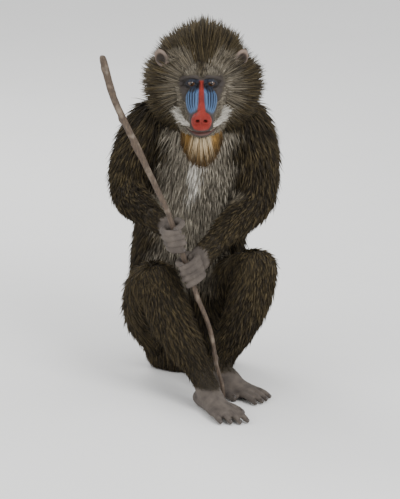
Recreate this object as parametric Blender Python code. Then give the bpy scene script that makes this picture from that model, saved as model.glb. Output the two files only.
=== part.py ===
"""A life-size seated mandrill, the ribbed-faced great baboon of old natural histories, holding a stick.

The animal sits on its rump with both knees drawn up, both feet flat on the ground and both hands round
an upright stick. It faces -Y, +X is its own left side, and +Z is up. Lengths are in metres. The head, the
trunk and each limb is a smooth solid, lofted and fused from a few named sizes, then parted by thin flat
cuts. The crown, ruff, beard and mantle are tapered locks grown on a shallow core.
"""

import math
import random

import bmesh
import bpy
import numpy as np
from mathutils import Matrix, Vector

# Gaps and fineness
GAP = 0.0004
FLOOR = 0.0
FINE_VOXEL = 0.0022
HAND_VOXEL = 0.0021
BODY_VOXEL = 0.0065

# Landmarks of the pose
EYE_LINE = Vector((0.010, -0.105, 0.700))
PELVIS = Vector((-0.022, 0.058, 0.130))
SEAT_PAD_SPREAD = 0.046
SEAT_PAD_RADII = (0.030, 0.038, 0.030)

# Head
EYE_SPREAD = 0.0225
EYE_RADIUS = 0.0115
EAR_HEIGHT = 0.046
EAR_WIDTH = 0.034

# Coat
HOOD_CENTRE = Vector((0.004, 0.052, -0.016))
HOOD_RADII = Vector((0.100, 0.100, 0.098))
HOOD_FRONT = 0.058
CROWN_HALF_ANGLE = math.radians(44)
HOOD_END = math.radians(152)

# Hands and feet
FINGER_RADIUS = 0.0068
FINGER_PITCH = 0.0138
FINGER_LENGTHS = (0.92, 1.04, 1.0, 0.84)
TOE_RADIUS = 0.0080
TOE_LENGTHS = (0.054, 0.059, 0.055, 0.046)

# How a finger and the thumb go round the stick: angle from the wrist's side, distance from the stick's
# middle and, for a finger, how far it drops
FINGER_CURL = (
    (-16, 0.0360, 0.000),
    (48, 0.0265, 0.002),
    (100, 0.0185, 0.005),
    (160, 0.0155, 0.009),
    (215, 0.0148, 0.012),
)
THUMB_CURL = ((-38, 0.0500), (-62, 0.0340), (-105, 0.0210), (-150, 0.0165), (-185, 0.0160))

# The stick, foot to top: x, y, z, radius
STICK = (
    (0.060, -0.250, -0.004, 0.0050),
    (0.056, -0.248, 0.040, 0.0052),
    (0.043, -0.246, 0.082, 0.0054),
    (0.034, -0.245, 0.148, 0.0056),
    (0.020, -0.245, 0.194, 0.0058),
    (0.000, -0.245, 0.243, 0.0060),
    (-0.0225, -0.245, 0.313, 0.0062),
    (-0.046, -0.245, 0.382, 0.0064),
    (-0.066, -0.245, 0.440, 0.0066),
    (-0.104, -0.247, 0.523, 0.0072),
    (-0.130, -0.248, 0.582, 0.0082),
    (-0.158, -0.250, 0.640, 0.0080),
    (-0.186, -0.252, 0.705, 0.0088),
    (-0.201, -0.254, 0.762, 0.0094),
    (-0.208, -0.255, 0.790, 0.0084),
)
STICK_TWIG = (
    (-0.116, -0.248, 0.548, 0.0046),
    (-0.135, -0.251, 0.577, 0.0042),
    (-0.146, -0.254, 0.597, 0.0026),
)

COLOURS = {
    "coat": ((0.055, 0.045, 0.032), 0.85),
    "pale_coat": ((0.300, 0.260, 0.200), 0.85),
    "beard": ((0.270, 0.150, 0.050), 0.85),
    "face": ((0.110, 0.130, 0.190), 0.55),
    "eye": ((0.060, 0.030, 0.012), 0.15),
    "bare_skin": ((0.070, 0.060, 0.055), 0.60),
    "bark": ((0.140, 0.095, 0.060), 0.80),
}


def clear_scene():
    for thing in list(bpy.data.objects):
        bpy.data.objects.remove(thing, do_unlink=True)


def spline(rows, per_span):
    """Rows of numbers smoothed by a Catmull-Rom curve through each of them."""
    rows = np.array(rows, float)
    ends = np.vstack([2 * rows[0] - rows[1], rows, 2 * rows[-1] - rows[-2]])
    out = []
    for i in range(len(rows) - 1):
        a, b, c, d = ends[i : i + 4]
        for t in np.arange(per_span) / per_span:
            square = (2 * a - 5 * b + 4 * c - d) * t**2
            cube = (3 * b - a - 3 * c + d) * t**3
            out.append((2 * b + (c - a) * t + square + cube) / 2)
    return np.vstack([out, rows[-1]])


def tube(rows, per_span=4, sides=14, wide_axis=(1, 0, 0), cap=3, square=2.0):
    """A closed loft with round ends. A row is x, y, z, half width and, if it isn't round, half height."""
    rows = [r if len(r) == 5 else (*r, r[3]) for r in rows]
    line = spline(rows, per_span)
    centres, wide, high = line[:, :3], line[:, 3], line[:, 4]
    tangents = np.gradient(centres, axis=0)
    tangents /= np.linalg.norm(tangents, axis=1)[:, None]
    rings = list(zip(centres, tangents, wide, high))
    for end, way in ((0, -1), (-1, 1)):
        reach = min(wide[end], high[end])
        dome = []
        for k in range(1, cap + 1):
            a = math.pi / 2 * k / (cap + 1)
            middle = centres[end] + tangents[end] * way * reach * math.sin(a)
            dome.append((middle, tangents[end], wide[end] * math.cos(a), high[end] * math.cos(a)))
        rings = rings + dome if way > 0 else dome[::-1] + rings
    poles = (
        centres[0] - tangents[0] * min(wide[0], high[0]),
        centres[-1] + tangents[-1] * min(wide[-1], high[-1]),
    )
    verts, faces = [], []
    axis = np.array(wide_axis, float)
    for centre, tangent, w, h in rings:
        u = axis - tangent * (axis @ tangent)
        u /= np.linalg.norm(u)
        v = np.cross(tangent, u)
        for j in range(sides):
            a = 2 * math.pi * j / sides
            c, s = math.cos(a), math.sin(a)
            c = math.copysign(abs(c) ** (2 / square), c)
            s = math.copysign(abs(s) ** (2 / square), s)
            verts.append(centre + u * w * c + v * h * s)
    for i in range(len(rings) - 1):
        for j in range(sides):
            k = (j + 1) % sides
            faces.append((i * sides + j, i * sides + k, (i + 1) * sides + k, (i + 1) * sides + j))
    first, last = len(verts), len(verts) + 1
    verts += list(poles)
    top = (len(rings) - 1) * sides
    for j in range(sides):
        k = (j + 1) % sides
        faces.append((first, k, j))
        faces.append((last, top + j, top + k))
    return verts, faces


def ball(centre, radii, turn=None, rings=12, sides=18):
    """A closed ellipsoid. turn is an optional rotation matrix."""
    centre, radii = Vector(centre), Vector(radii)
    turn = turn or Matrix.Identity(3)
    verts, faces = [], []
    for i in range(1, rings):
        p = math.pi * i / rings
        for j in range(sides):
            a = 2 * math.pi * j / sides
            unit = Vector((math.sin(p) * math.cos(a), math.sin(p) * math.sin(a), math.cos(p)))
            verts.append(centre + turn @ Vector(x * r for x, r in zip(unit, radii)))
    for i in range(rings - 2):
        for j in range(sides):
            k = (j + 1) % sides
            faces.append((i * sides + j, (i + 1) * sides + j, (i + 1) * sides + k, i * sides + k))
    top, bottom = len(verts), len(verts) + 1
    verts += [centre + turn @ Vector((0, 0, radii.z)), centre + turn @ Vector((0, 0, -radii.z))]
    last = (rings - 2) * sides
    for j in range(sides):
        k = (j + 1) % sides
        faces.append((top, j, k))
        faces.append((bottom, last + k, last + j))
    return verts, faces


def mirrored(rows):
    """The same rows on the other side of the head's middle plane."""
    return [(-r[0], *r[1:]) for r in rows]


def mesh_object(name, shapes):
    """One object that holds all the closed shapes."""
    verts, faces = [], []
    for more_verts, more_faces in shapes:
        start = len(verts)
        verts += [tuple(v) for v in more_verts]
        faces += [tuple(i + start for i in f) for f in more_faces]
    mesh = bpy.data.meshes.new(name)
    mesh.from_pydata(verts, [], faces)
    thing = bpy.data.objects.new(name, mesh)
    bpy.context.scene.collection.objects.link(thing)
    with_bmesh(thing, lambda bm: bmesh.ops.recalc_face_normals(bm, faces=bm.faces))
    return thing


def with_bmesh(thing, work):
    bm = bmesh.new()
    bm.from_mesh(thing.data)
    work(bm)
    bm.to_mesh(thing.data)
    bm.free()
    thing.data.update()


def bake_modifiers(thing):
    """The object's modifiers are applied to its mesh."""
    graph = bpy.context.evaluated_depsgraph_get()
    made = bpy.data.meshes.new_from_object(thing.evaluated_get(graph))
    old = thing.data
    thing.modifiers.clear()
    thing.data = made
    bpy.data.meshes.remove(old)


def remesh(thing, voxel, smoothing):
    fused = thing.modifiers.new("fused", "REMESH")
    fused.mode = "VOXEL"
    fused.voxel_size = voxel
    if smoothing:
        softened = thing.modifiers.new("softened", "SMOOTH")
        softened.factor = 0.5
        softened.iterations = smoothing
    bake_modifiers(thing)


def thin_out(thing, triangles):
    """Fewer triangles, with most left where the surface bends most."""
    thing.data.calc_loop_triangles()
    fewer = thing.modifiers.new("fewer", "DECIMATE")
    fewer.ratio = min(1.0, triangles / max(1, len(thing.data.loop_triangles)))
    fewer.use_collapse_triangulate = True
    bake_modifiers(thing)


def fused(name, shapes, voxel, smoothing, triangles, sculpt=None):
    """Overlapping closed shapes made into one smooth solid."""
    thing = mesh_object(name, shapes)
    remesh(thing, voxel, smoothing)
    if sculpt:
        sculpt(thing)
    thin_out(thing, triangles)
    keep_largest(thing)
    return thing


def island_volume(faces):
    """What a closed set of faces holds, as the sum of its triangles' cones from the origin."""
    volume = 0.0
    for face in faces:
        corners = [v.co for v in face.verts]
        for second, third in zip(corners[1:], corners[2:]):
            volume += corners[0].dot(second.cross(third)) / 6
    return volume


def keep_largest(thing):
    """Loose scraps and sealed hollows are dropped."""

    def work(bm):
        left = set(bm.faces)
        islands = []
        while left:
            stack = [left.pop()]
            island = []
            while stack:
                face = stack.pop()
                island.append(face)
                for edge in face.edges:
                    for other in edge.link_faces:
                        if other in left:
                            left.remove(other)
                            stack.append(other)
            islands.append(island)
        islands.sort(key=island_volume)
        for island in islands[:-1]:
            bmesh.ops.delete(bm, geom=island, context="FACES")
        loose = [v for v in bm.verts if not v.link_faces]
        bmesh.ops.delete(bm, geom=loose, context="VERTS")

    with_bmesh(thing, work)


def cut_flat(thing, point, outward):
    """What lies past the plane is cut off and the cut is capped."""

    def work(bm):
        bmesh.ops.bisect_plane(
            bm,
            geom=bm.verts[:] + bm.edges[:] + bm.faces[:],
            dist=1e-6,
            plane_co=Vector(point),
            plane_no=Vector(outward),
            clear_outer=True,
        )
        rim = [e for e in bm.edges if e.is_boundary]
        caps = bmesh.ops.holes_fill(bm, edges=rim, sides=0)["faces"]
        bmesh.ops.triangulate(bm, faces=caps)
        bmesh.ops.recalc_face_normals(bm, faces=bm.faces)

    with_bmesh(thing, work)
    keep_largest(thing)


def twin(thing, name):
    copy = thing.copy()
    copy.data = thing.data.copy()
    copy.name = name
    bpy.context.scene.collection.objects.link(copy)
    return copy


def parted(thing, first, second, point, normal):
    """Two nodes from one solid, with a thin flat gap at the joint. second is on the normal's side."""
    point, normal = Vector(point), Vector(normal).normalized()
    other = twin(thing, second)
    thing.name = first
    cut_flat(thing, point - normal * GAP / 2, normal)
    cut_flat(other, point + normal * GAP / 2, -normal)
    return thing, other


def boolean(thing, other, operation, solver="EXACT"):
    cut = thing.modifiers.new("cut", "BOOLEAN")
    cut.operation = operation
    cut.solver = solver
    if isinstance(other, bpy.types.Collection):
        cut.operand_type = "COLLECTION"
        cut.collection = other
    else:
        cut.object = other
    bake_modifiers(thing)


def carve(thing, *neighbours, gap=GAP, solver="MANIFOLD"):
    """Room is cut for each neighbour, with a thin gap all round it."""
    for neighbour in neighbours:
        cutter = twin(neighbour, "cutter")

        def swell(bm):
            bm.normal_update()
            moves = [v.normal * gap for v in bm.verts]
            for v, move in zip(bm.verts, moves):
                v.co += move

        with_bmesh(cutter, swell)
        boolean(thing, cutter, "DIFFERENCE", solver)
        boolean(thing, neighbour, "DIFFERENCE", solver)
        bpy.data.objects.remove(cutter, do_unlink=True)
    keep_largest(thing)


# The head, whose own measures are taken from the point midway between the eyes: x to its left, y back, z up

CRANIUM = (
    ((0, 0.064, 0.004), (0.055, 0.074, 0.050)),
    ((0, 0.082, -0.020), (0.060, 0.062, 0.054)),
    ((0, 0.032, 0.014), (0.048, 0.036, 0.028)),
)
BROW = (
    (-0.048, 0.014, 0.0035, 0.0055),
    (-0.024, -0.0060, 0.0160, 0.0076),
    (0, -0.0072, 0.0125, 0.0068),
    (0.024, -0.0060, 0.0160, 0.0076),
    (0.048, 0.014, 0.0035, 0.0055),
)
CHEEKBONE = (
    (0.024, 0.000, -0.023, 0.0095),
    (0.040, 0.008, -0.019, 0.0115),
    (0.046, 0.028, -0.017, 0.0125),
    (0.046, 0.062, -0.018, 0.0125),
)
CHEEK = ((0.033, 0.028, -0.042), (0.020, 0.044, 0.032))
MUZZLE = (
    (0, 0.020, -0.032, 0.040, 0.032),
    (0, -0.024, -0.043, 0.036, 0.029),
    (0, -0.066, -0.058, 0.033, 0.025),
    (0, -0.094, -0.069, 0.027, 0.020),
)
NOSE_STRIP = (
    (0, -0.004, 0.004, 0.0070),
    (0, -0.042, -0.0140, 0.0074),
    (0, -0.080, -0.0370, 0.0080),
    (0, -0.104, -0.054, 0.0100),
)
CHEEK_SWELLING = (
    (0.0170, -0.016, -0.0150, 0.0100),
    (0.0215, -0.042, -0.0245, 0.0150),
    (0.0200, -0.072, -0.0410, 0.0135),
    (0.0150, -0.092, -0.0530, 0.0090),
)
NOSE_PAD = ((0, -0.108, -0.062), (0.0215, 0.0120, 0.0145))
NOSTRIL_WING = ((0.0125, -0.1095, -0.0605), (0.0110, 0.0115, 0.0120))
NOSTRIL = ((0.0092, -0.1235, -0.0615), (0.0034, 0.0080, 0.0052))
UPPER_LIP = (
    (0.039, -0.012, -0.058, 0.0085),
    (0.034, -0.050, -0.070, 0.0088),
    (0.025, -0.084, -0.079, 0.0085),
    (0.012, -0.105, -0.0825, 0.0075),
    (0, -0.1105, -0.0830, 0.0070),
    (-0.012, -0.105, -0.0825, 0.0075),
    (-0.025, -0.084, -0.079, 0.0085),
    (-0.034, -0.050, -0.070, 0.0088),
    (-0.039, -0.012, -0.058, 0.0085),
)
LOWER_LIP = (
    (0.036, -0.012, -0.0715, 0.0075),
    (0.031, -0.048, -0.0830, 0.0074),
    (0.022, -0.080, -0.0920, 0.0070),
    (0.010, -0.098, -0.0955, 0.0064),
    (0, -0.1015, -0.0960, 0.0062),
    (-0.010, -0.098, -0.0955, 0.0064),
    (-0.022, -0.080, -0.0920, 0.0070),
    (-0.031, -0.048, -0.0830, 0.0074),
    (-0.036, -0.012, -0.0715, 0.0075),
)
JAW = (
    (0, -0.084, -0.1000, 0.0145),
    (0.024, -0.050, -0.0960, 0.0160),
    (0.037, 0.000, -0.0800, 0.0170),
    (0.041, 0.040, -0.0560, 0.0170),
)
THROAT = ((0, -0.018, -0.084), (0.040, 0.062, 0.027))
JAW_MUSCLE = ((0.040, 0.040, -0.044), (0.018, 0.036, 0.032))
LIDS = ((0.0232, 0.0005, -0.0005), (0.0185, 0.0138, 0.0132))
EYE_OPENING = ((0.0226, -0.0150, -0.0002), (0.0104, 0.0140, 0.0050))


def head_shapes():
    shapes = [ball(c, r) for c, r in CRANIUM]
    shapes.append(tube(BROW, wide_axis=(0, 0, 1)))
    shapes.append(tube(MUZZLE, sides=24, square=2.5))
    shapes.append(tube(NOSE_STRIP))
    shapes.append(ball(*NOSE_PAD))
    shapes.append(tube(UPPER_LIP, wide_axis=(0, 0, 1)))
    shapes.append(tube(LOWER_LIP, wide_axis=(0, 0, 1)))
    shapes.append(ball(*THROAT))
    for rows in (CHEEKBONE, CHEEK_SWELLING, JAW):
        shapes += [tube(rows, wide_axis=(0, 0, 1)), tube(mirrored(rows), wide_axis=(0, 0, 1))]
    for side in (-1, 1):
        for (x, y, z), radii in (NOSTRIL_WING, JAW_MUSCLE, CHEEK):
            shapes.append(ball((side * x, y, z), radii))
    return shapes


def on_both_sides(thing, shape, operation, roll=0.0, rings=10, sides=16):
    """An ellipsoid is added to or cut from each side of the head. roll leans its top outwards."""
    (x, y, z), radii = shape
    for side in (-1, 1):
        turn = Matrix.Rotation(math.radians(roll) * side, 3, "Y")
        tool = mesh_object("tool", [ball((side * x, y, z), radii, turn, rings=rings, sides=sides)])
        boolean(thing, tool, operation)
        bpy.data.objects.remove(tool, do_unlink=True)


def near_line(points, rows, per_span=8):
    """For each point: its distance from the smoothed line, and its share of the way along it."""
    line = spline(np.array(rows)[:, :3], per_span)
    gaps = np.linalg.norm(points[:, None, :] - line[None, :, :], axis=2)
    nearest = gaps.argmin(axis=1)
    return gaps[np.arange(len(points)), nearest], nearest / (len(line) - 1)


def bump(x, half_width):
    """1 at 0, falling smoothly to 0 at the half width."""
    x = np.clip(np.abs(x) / half_width, 0, 1)
    return (1 - x * x) ** 2


def sculpt_head(thing):
    """The ribs of the cheek swellings and the line of the mouth."""
    mesh = thing.data
    points = np.empty(len(mesh.vertices) * 3)
    mesh.vertices.foreach_get("co", points)
    points = points.reshape(-1, 3)
    normals = np.empty(len(mesh.vertices) * 3)
    mesh.vertices.foreach_get("normal", normals)
    normals = normals.reshape(-1, 3)
    move = np.zeros_like(points)

    line = spline(np.array(CHEEK_SWELLING)[:, :3], 8)
    for side in (-1, 1):
        own = points * (side, 1, 1)
        gaps, along = near_line(own, CHEEK_SWELLING)
        away = own - line[np.rint(along * (len(line) - 1)).astype(int)]
        turn = np.degrees(np.arctan2(away[:, 0], away[:, 2] - 0.45 * away[:, 1])) - 22 * (along - 0.5)
        ribs = 0.5 - 0.5 * np.cos(np.radians((turn + 52) * 360 / 26))
        mask = bump(along - 0.47, 0.55) * bump(turn - 16, 84) * (gaps < 0.024) * (own[:, 0] > 0.004)
        move -= normals * (0.0030 * mask * (1 - ribs))[:, None]

    level = (points - mouth_level(points))[:, 2]
    front = (points[:, 1] < 0.004) & (points[:, 2] < -0.045)
    move -= normals * (0.0045 * bump(level, 0.0034) * front)[:, None]

    points += move
    mesh.vertices.foreach_set("co", points.ravel())
    mesh.update()


def mouth_level(points):
    """The height of the mouth's line beside each point, from how far back the point is."""
    mouth = (np.array(UPPER_LIP)[:5, :3] + np.array(LOWER_LIP)[:5, :3]) / 2
    order = np.argsort(mouth[:, 1])
    out = points.copy()
    out[:, 2] = np.interp(points[:, 1], mouth[order, 1], mouth[order, 2])
    return out


def place_head(thing):
    thing.data.transform(Matrix.Translation(EYE_LINE))


def make_head():
    head = fused("head", head_shapes(), FINE_VOXEL, 3, 1500, sculpt_head)
    on_both_sides(head, LIDS, "UNION", roll=10, rings=8, sides=12)
    on_both_sides(head, EYE_OPENING, "DIFFERENCE", roll=-6, rings=6, sides=12)
    on_both_sides(head, NOSTRIL, "DIFFERENCE", roll=-28, rings=6, sides=8)
    place_head(head)
    eyes = []
    for side, name in ((-1, "eye_right"), (1, "eye_left")):
        eye = mesh_object(name, [ball((side * EYE_SPREAD, 0, 0), [EYE_RADIUS] * 3, rings=8, sides=12)])
        place_head(eye)
        eyes.append(eye)
    carve(head, *eyes)
    return head, eyes


EAR_PLACE = Vector((0.089, 0.036, 0.047))


def make_ears(head):
    """Each ear is a shallow cup with a rolled rim, set high on the side and turned forward."""
    ears = []
    for side, name in ((-1, "ear_right"), (1, "ear_left")):
        lean = Matrix.Rotation(math.radians(22 * side), 3, "Y")
        turn = lean @ Matrix.Rotation(math.radians(24 * side), 3, "Z")
        outer = (EAR_WIDTH / 2, 0.0085, EAR_HEIGHT / 2)
        shell = mesh_object(name, [ball((0, 0, 0), outer, rings=10, sides=14)])
        hollow = (EAR_WIDTH / 2 - 0.0045, 0.0100, EAR_HEIGHT / 2 - 0.0055)
        cup = mesh_object("cup", [ball((0, -0.0088, 0.001), hollow, rings=8, sides=12)])
        boolean(shell, cup, "DIFFERENCE")
        bpy.data.objects.remove(cup, do_unlink=True)
        rows = [(-0.004 * side, 0.004, -0.008, 0.008), (-0.040 * side, 0.016, -0.014, 0.012)]
        root = mesh_object("root", [tube(rows, sides=9, per_span=3, cap=2)])
        boolean(shell, root, "UNION")
        bpy.data.objects.remove(root, do_unlink=True)
        place = EYE_LINE + Vector((EAR_PLACE.x * side, EAR_PLACE.y, EAR_PLACE.z))
        shell.data.transform(Matrix.Translation(place) @ turn.to_4x4())
        carve(shell, head)
        thin_out(shell, 170)
        keep_largest(shell)
        ears.append(shell)
    return ears


# The trunk, from the seat to the throat: x, y, z, half width, half depth

TRUNK = (
    (-0.020, 0.052, 0.070, 0.108, 0.094),
    (-0.022, 0.062, 0.145, 0.130, 0.110),
    (-0.021, 0.064, 0.255, 0.130, 0.118),
    (-0.010, 0.060, 0.370, 0.124, 0.118),
    (0.000, 0.048, 0.475, 0.128, 0.114),
    (0.006, 0.042, 0.560, 0.124, 0.098),
    (0.010, 0.030, 0.620, 0.086, 0.080),
    (0.010, 0.010, 0.670, 0.064, 0.066),
)
RUMP_CUT = 0.175
CHEST_CUT = 0.020
NECK_CUT = 0.622


def make_trunk(head):
    shapes = [tube(TRUNK, sides=24, per_span=5)]
    for side in (-1, 1):
        shapes.append(ball((PELVIS.x + side * SEAT_PAD_SPREAD, 0.040, 0.022), SEAT_PAD_RADII))
    trunk = fused("trunk", shapes, BODY_VOXEL, 6, 580)
    cut_flat(trunk, (0, 0, FLOOR), (0, 0, -1))
    rump, rest = parted(trunk, "rump", "torso", (0, 0, RUMP_CUT), (0, 0.10, 1))
    rest, neck = parted(rest, "torso", "neck", (0, 0.02, NECK_CUT), (0, -0.35, 1))
    chest, back = parted(rest, "chest", "back", (0, CHEST_CUT, 0), (0, 1, 0))
    carve(neck, head)
    return rump, chest, back, neck


def make_tail(rump, back):
    """The stub that this kind carries upright."""
    rows = (
        (-0.021, 0.140, 0.118, 0.016),
        (-0.021, 0.168, 0.128, 0.014),
        (-0.020, 0.184, 0.150, 0.013),
        (-0.019, 0.190, 0.176, 0.010),
    )
    tail = mesh_object("tail", [tube(rows, sides=10, per_span=3, cap=2)])
    carve(tail, rump, back)
    return tail


# The limbs: x, y, z, radius from the trunk outwards

RIGHT_ARM = (
    (-0.098, 0.030, 0.572, 0.062),
    (-0.134, 0.012, 0.520, 0.056),
    (-0.152, -0.012, 0.470, 0.048),
    (-0.155, -0.038, 0.430, 0.044),
)
RIGHT_FOREARM = (
    (-0.155, -0.038, 0.430, 0.043),
    (-0.142, -0.085, 0.420, 0.041),
    (-0.118, -0.130, 0.410, 0.034),
    (-0.097, -0.167, 0.402, 0.026),
    (-0.085, -0.190, 0.397, 0.023),
)
LEFT_ARM = (
    (0.108, 0.030, 0.572, 0.062),
    (0.133, 0.010, 0.515, 0.055),
    (0.139, -0.018, 0.460, 0.048),
    (0.135, -0.045, 0.412, 0.044),
)
LEFT_FOREARM = (
    (0.135, -0.045, 0.412, 0.043),
    (0.108, -0.092, 0.394, 0.041),
    (0.068, -0.142, 0.368, 0.033),
    (0.034, -0.185, 0.346, 0.025),
    (0.020, -0.202, 0.338, 0.022),
)
RIGHT_THIGH = (
    (-0.080, 0.030, 0.125, 0.086),
    (-0.094, -0.050, 0.185, 0.076),
    (-0.096, -0.125, 0.234, 0.060),
    (-0.086, -0.182, 0.256, 0.047),
)
RIGHT_SHIN = (
    (-0.084, -0.184, 0.254, 0.046),
    (-0.068, -0.206, 0.204, 0.051),
    (-0.038, -0.238, 0.148, 0.045),
    (-0.004, -0.274, 0.094, 0.035),
    (0.016, -0.297, 0.060, 0.030),
    (0.023, -0.305, 0.042, 0.028),
)
LEFT_THIGH = (
    (0.045, 0.030, 0.128, 0.086),
    (0.086, -0.040, 0.202, 0.076),
    (0.123, -0.108, 0.260, 0.059),
    (0.137, -0.148, 0.281, 0.046),
)
LEFT_SHIN = (
    (0.137, -0.149, 0.279, 0.045),
    (0.122, -0.158, 0.224, 0.051),
    (0.098, -0.166, 0.160, 0.044),
    (0.070, -0.168, 0.100, 0.034),
    (0.052, -0.168, 0.062, 0.028),
    (0.047, -0.168, 0.044, 0.027),
)


def fold_plane(upper, lower):
    """The plane that halves the bend of a joint, with its normal towards the lower limb."""
    bend = Vector(lower[0][:3])
    towards_upper = (Vector(upper[-3][:3]) - bend).normalized()
    towards_lower = (Vector(lower[2][:3]) - bend).normalized()
    return bend, towards_lower - towards_upper


def make_limb(names, upper, lower, triangles):
    limb = fused(names[0], [tube(upper, sides=18), tube(lower, sides=18)], BODY_VOXEL, 4, triangles)
    return parted(limb, *names, *fold_plane(upper, lower))


def end_plane(rows):
    """The plane across a limb at its second last row."""
    point = Vector(rows[-2][:3])
    return point, Vector(rows[-1][:3]) - point


# Hands round the stick


def stick_at(height):
    """The stick's centre and direction at a height."""
    rows = spline([r[:3] for r in STICK], 8)
    i = int(np.argmin(np.abs(rows[:, 2] - height)))
    return Vector(rows[i]), (Vector(rows[i + 1]) - Vector(rows[i - 1])).normalized()


def grip_hand(name, height, wrist, wrist_width, side, triangles):
    """Four fingers close round the front of the stick, and the thumb goes behind it."""
    centre, up = stick_at(height)
    out = (wrist - centre) - up * (wrist - centre).dot(up)
    out.normalize()
    across = up.cross(out).normalized() * side
    shapes = []
    knuckles = []
    for finger in range(4):
        base = centre + up * FINGER_PITCH * (1.5 - finger)
        rows = []
        for angle, reach, drop in FINGER_CURL:
            a = math.radians(angle * (FINGER_LENGTHS[finger] if angle > 0 else 1))
            p = base + out * reach * math.cos(a) + across * reach * math.sin(a) - up * drop
            rows.append((*p, FINGER_RADIUS * (1.0 if angle < 100 else 0.88)))
        knuckles.append(Vector(rows[0][:3]))
        shapes.append(tube(rows, sides=12))
    base = centre + up * FINGER_PITCH * 1.7
    rows = []
    for angle, reach in THUMB_CURL:
        a = math.radians(angle)
        p = base + out * reach * math.cos(a) + across * reach * math.sin(a) - up * 0.004
        rows.append((*p, FINGER_RADIUS * 1.1))
    shapes.append(tube(rows, sides=12))
    middle = (knuckles[1] + knuckles[2]) / 2
    palm = [
        (*wrist, wrist_width, wrist_width * 0.95),
        (*(wrist * 0.6 + middle * 0.4), 0.0265, 0.0190),
        (*(wrist * 0.25 + middle * 0.75), 0.0290, 0.0150),
        (*middle, 0.0285, 0.0098),
    ]
    shapes.append(tube(palm, sides=18, wide_axis=tuple(up), square=2.4))
    return fused(name, shapes, HAND_VOXEL, 1, triangles)


# Feet


def make_foot(name, heel, heading, inner, ankle, triangles):
    """A long flat foot with four toes and a stout big toe that stands off from its inner edge."""
    heel = Vector(heel)
    ahead = Vector((math.cos(heading), math.sin(heading), 0))
    inside = Vector((-ahead.y, ahead.x, 0)) * inner
    up = Vector((0, 0, 1))

    def at(forward, inward, height):
        return heel + ahead * forward + inside * inward + up * height

    sole = [
        (*at(0.000, 0.000, 0.020), 0.022, 0.021),
        (*at(0.048, 0.000, 0.020), 0.026, 0.021),
        (*at(0.092, -0.002, 0.017), 0.031, 0.017),
        (*at(0.120, -0.004, 0.014), 0.030, 0.013),
    ]
    instep = [
        (*ankle, 0.0272),
        (*(ankle * 0.45 + at(0.048, 0, 0.030) * 0.55), 0.027),
        (*at(0.076, -0.001, 0.024), 0.022),
    ]
    shapes = [
        tube(sole, sides=18, wide_axis=tuple(inside)),
        tube(instep, sides=16, wide_axis=tuple(inside)),
    ]
    for toe in range(4):
        start = 0.0200 - toe * 0.0158
        spread = 0.0225 - toe * 0.0186
        length = TOE_LENGTHS[toe]
        base = 0.128 - toe * 0.004
        rows = [
            (*at(base - 0.018, start, 0.013), TOE_RADIUS * 1.05),
            (*at(base, start + (spread - start) * 0.4, 0.0160), TOE_RADIUS),
            (*at(base + length * 0.55, spread, 0.0125), TOE_RADIUS * 0.95),
            (*at(base + length * 0.85, spread * 1.03, 0.0068), TOE_RADIUS * 0.85),
        ]
        shapes.append(tube(rows, sides=12))
    big = [
        (*at(0.046, 0.010, 0.015), 0.0135),
        (*at(0.072, 0.028, 0.013), 0.0115),
        (*at(0.098, 0.037, 0.0115), 0.0102),
        (*at(0.119, 0.039, 0.0085), 0.0090),
    ]
    shapes.append(tube(big, sides=12))
    foot = fused(name, shapes, HAND_VOXEL, 1, triangles)
    cut_flat(foot, (0, 0, FLOOR), (0, 0, -1))
    return foot


def make_stick():
    """A peeled branch: slightly bent, thicker at the top, with the stub of one twig."""
    stick = mesh_object("stick", [tube(STICK, sides=8, per_span=2, cap=1)])
    twig = mesh_object("twig", [tube(STICK_TWIG, sides=6, per_span=1, cap=1)])
    boolean(stick, twig, "UNION")
    bpy.data.objects.remove(twig, do_unlink=True)
    cut_flat(stick, (0, 0, FLOOR), (0, 0, -1))
    return stick


# Locks of the crown, ruff, beard and mantle


def lock(root, normal, lie, length, width, lift, bend=0.7, sunk=0.010, sway=0.0, thickness=0.0060):
    """One flat tapered lock that leaves the core at the lift angle and bends down along the coat's lie."""
    normal, lie = Vector(normal).normalized(), Vector(lie)
    lie = (lie - normal * lie.dot(normal)).normalized()
    stations = (0.0, 0.34, 0.70, 1.0)
    widths = (0.86, 1.00, 0.74, 0.0)
    verts, faces = [], []
    point = Vector(root)
    last = 0.0
    for station, share in zip(stations, widths):
        angle = math.radians(lift) * (1 - bend * station)
        aside = lie.cross(normal) * sway * station
        heading = ((lie + aside) * math.cos(angle) + normal * math.sin(angle)).normalized()
        point = point + heading * (station - last) * length
        last = station
        if share == 0.0:
            verts.append(tuple(point))
            break
        side = heading.cross(normal).normalized()
        outward = side.cross(heading).normalized()
        half = width / 2 * share
        thick = thickness * (1 - 0.6 * station)
        middle = point - normal * sunk - heading * sunk * 0.3 if station == 0.0 else point
        for u, v in ((-1, -0.3), (0, 0.7), (1, -0.3)):
            verts.append(tuple(middle + side * half * u + outward * thick * v))
    rings = len(stations) - 1
    for i in range(rings - 1):
        for j in range(3):
            k = (j + 1) % 3
            faces.append((i * 3 + j, i * 3 + k, (i + 1) * 3 + k, (i + 1) * 3 + j))
    tip = rings * 3
    for j in range(3):
        faces.append(((rings - 1) * 3 + j, (rings - 1) * 3 + (j + 1) % 3, tip))
    faces.append((2, 1, 0))
    return verts, faces


def grow(core, locks):
    """The locks are joined to their core by one union."""
    group = bpy.data.collections.new("locks")
    bpy.context.scene.collection.children.link(group)
    for i, shape in enumerate(locks):
        piece = mesh_object(f"lock_{i}", [shape])
        bpy.context.scene.collection.objects.unlink(piece)
        group.objects.link(piece)
    boolean(core, group, "UNION", "MANIFOLD")
    for piece in list(group.objects):
        bpy.data.objects.remove(piece, do_unlink=True)
    bpy.data.collections.remove(group)
    keep_largest(core)
    return core


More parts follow.
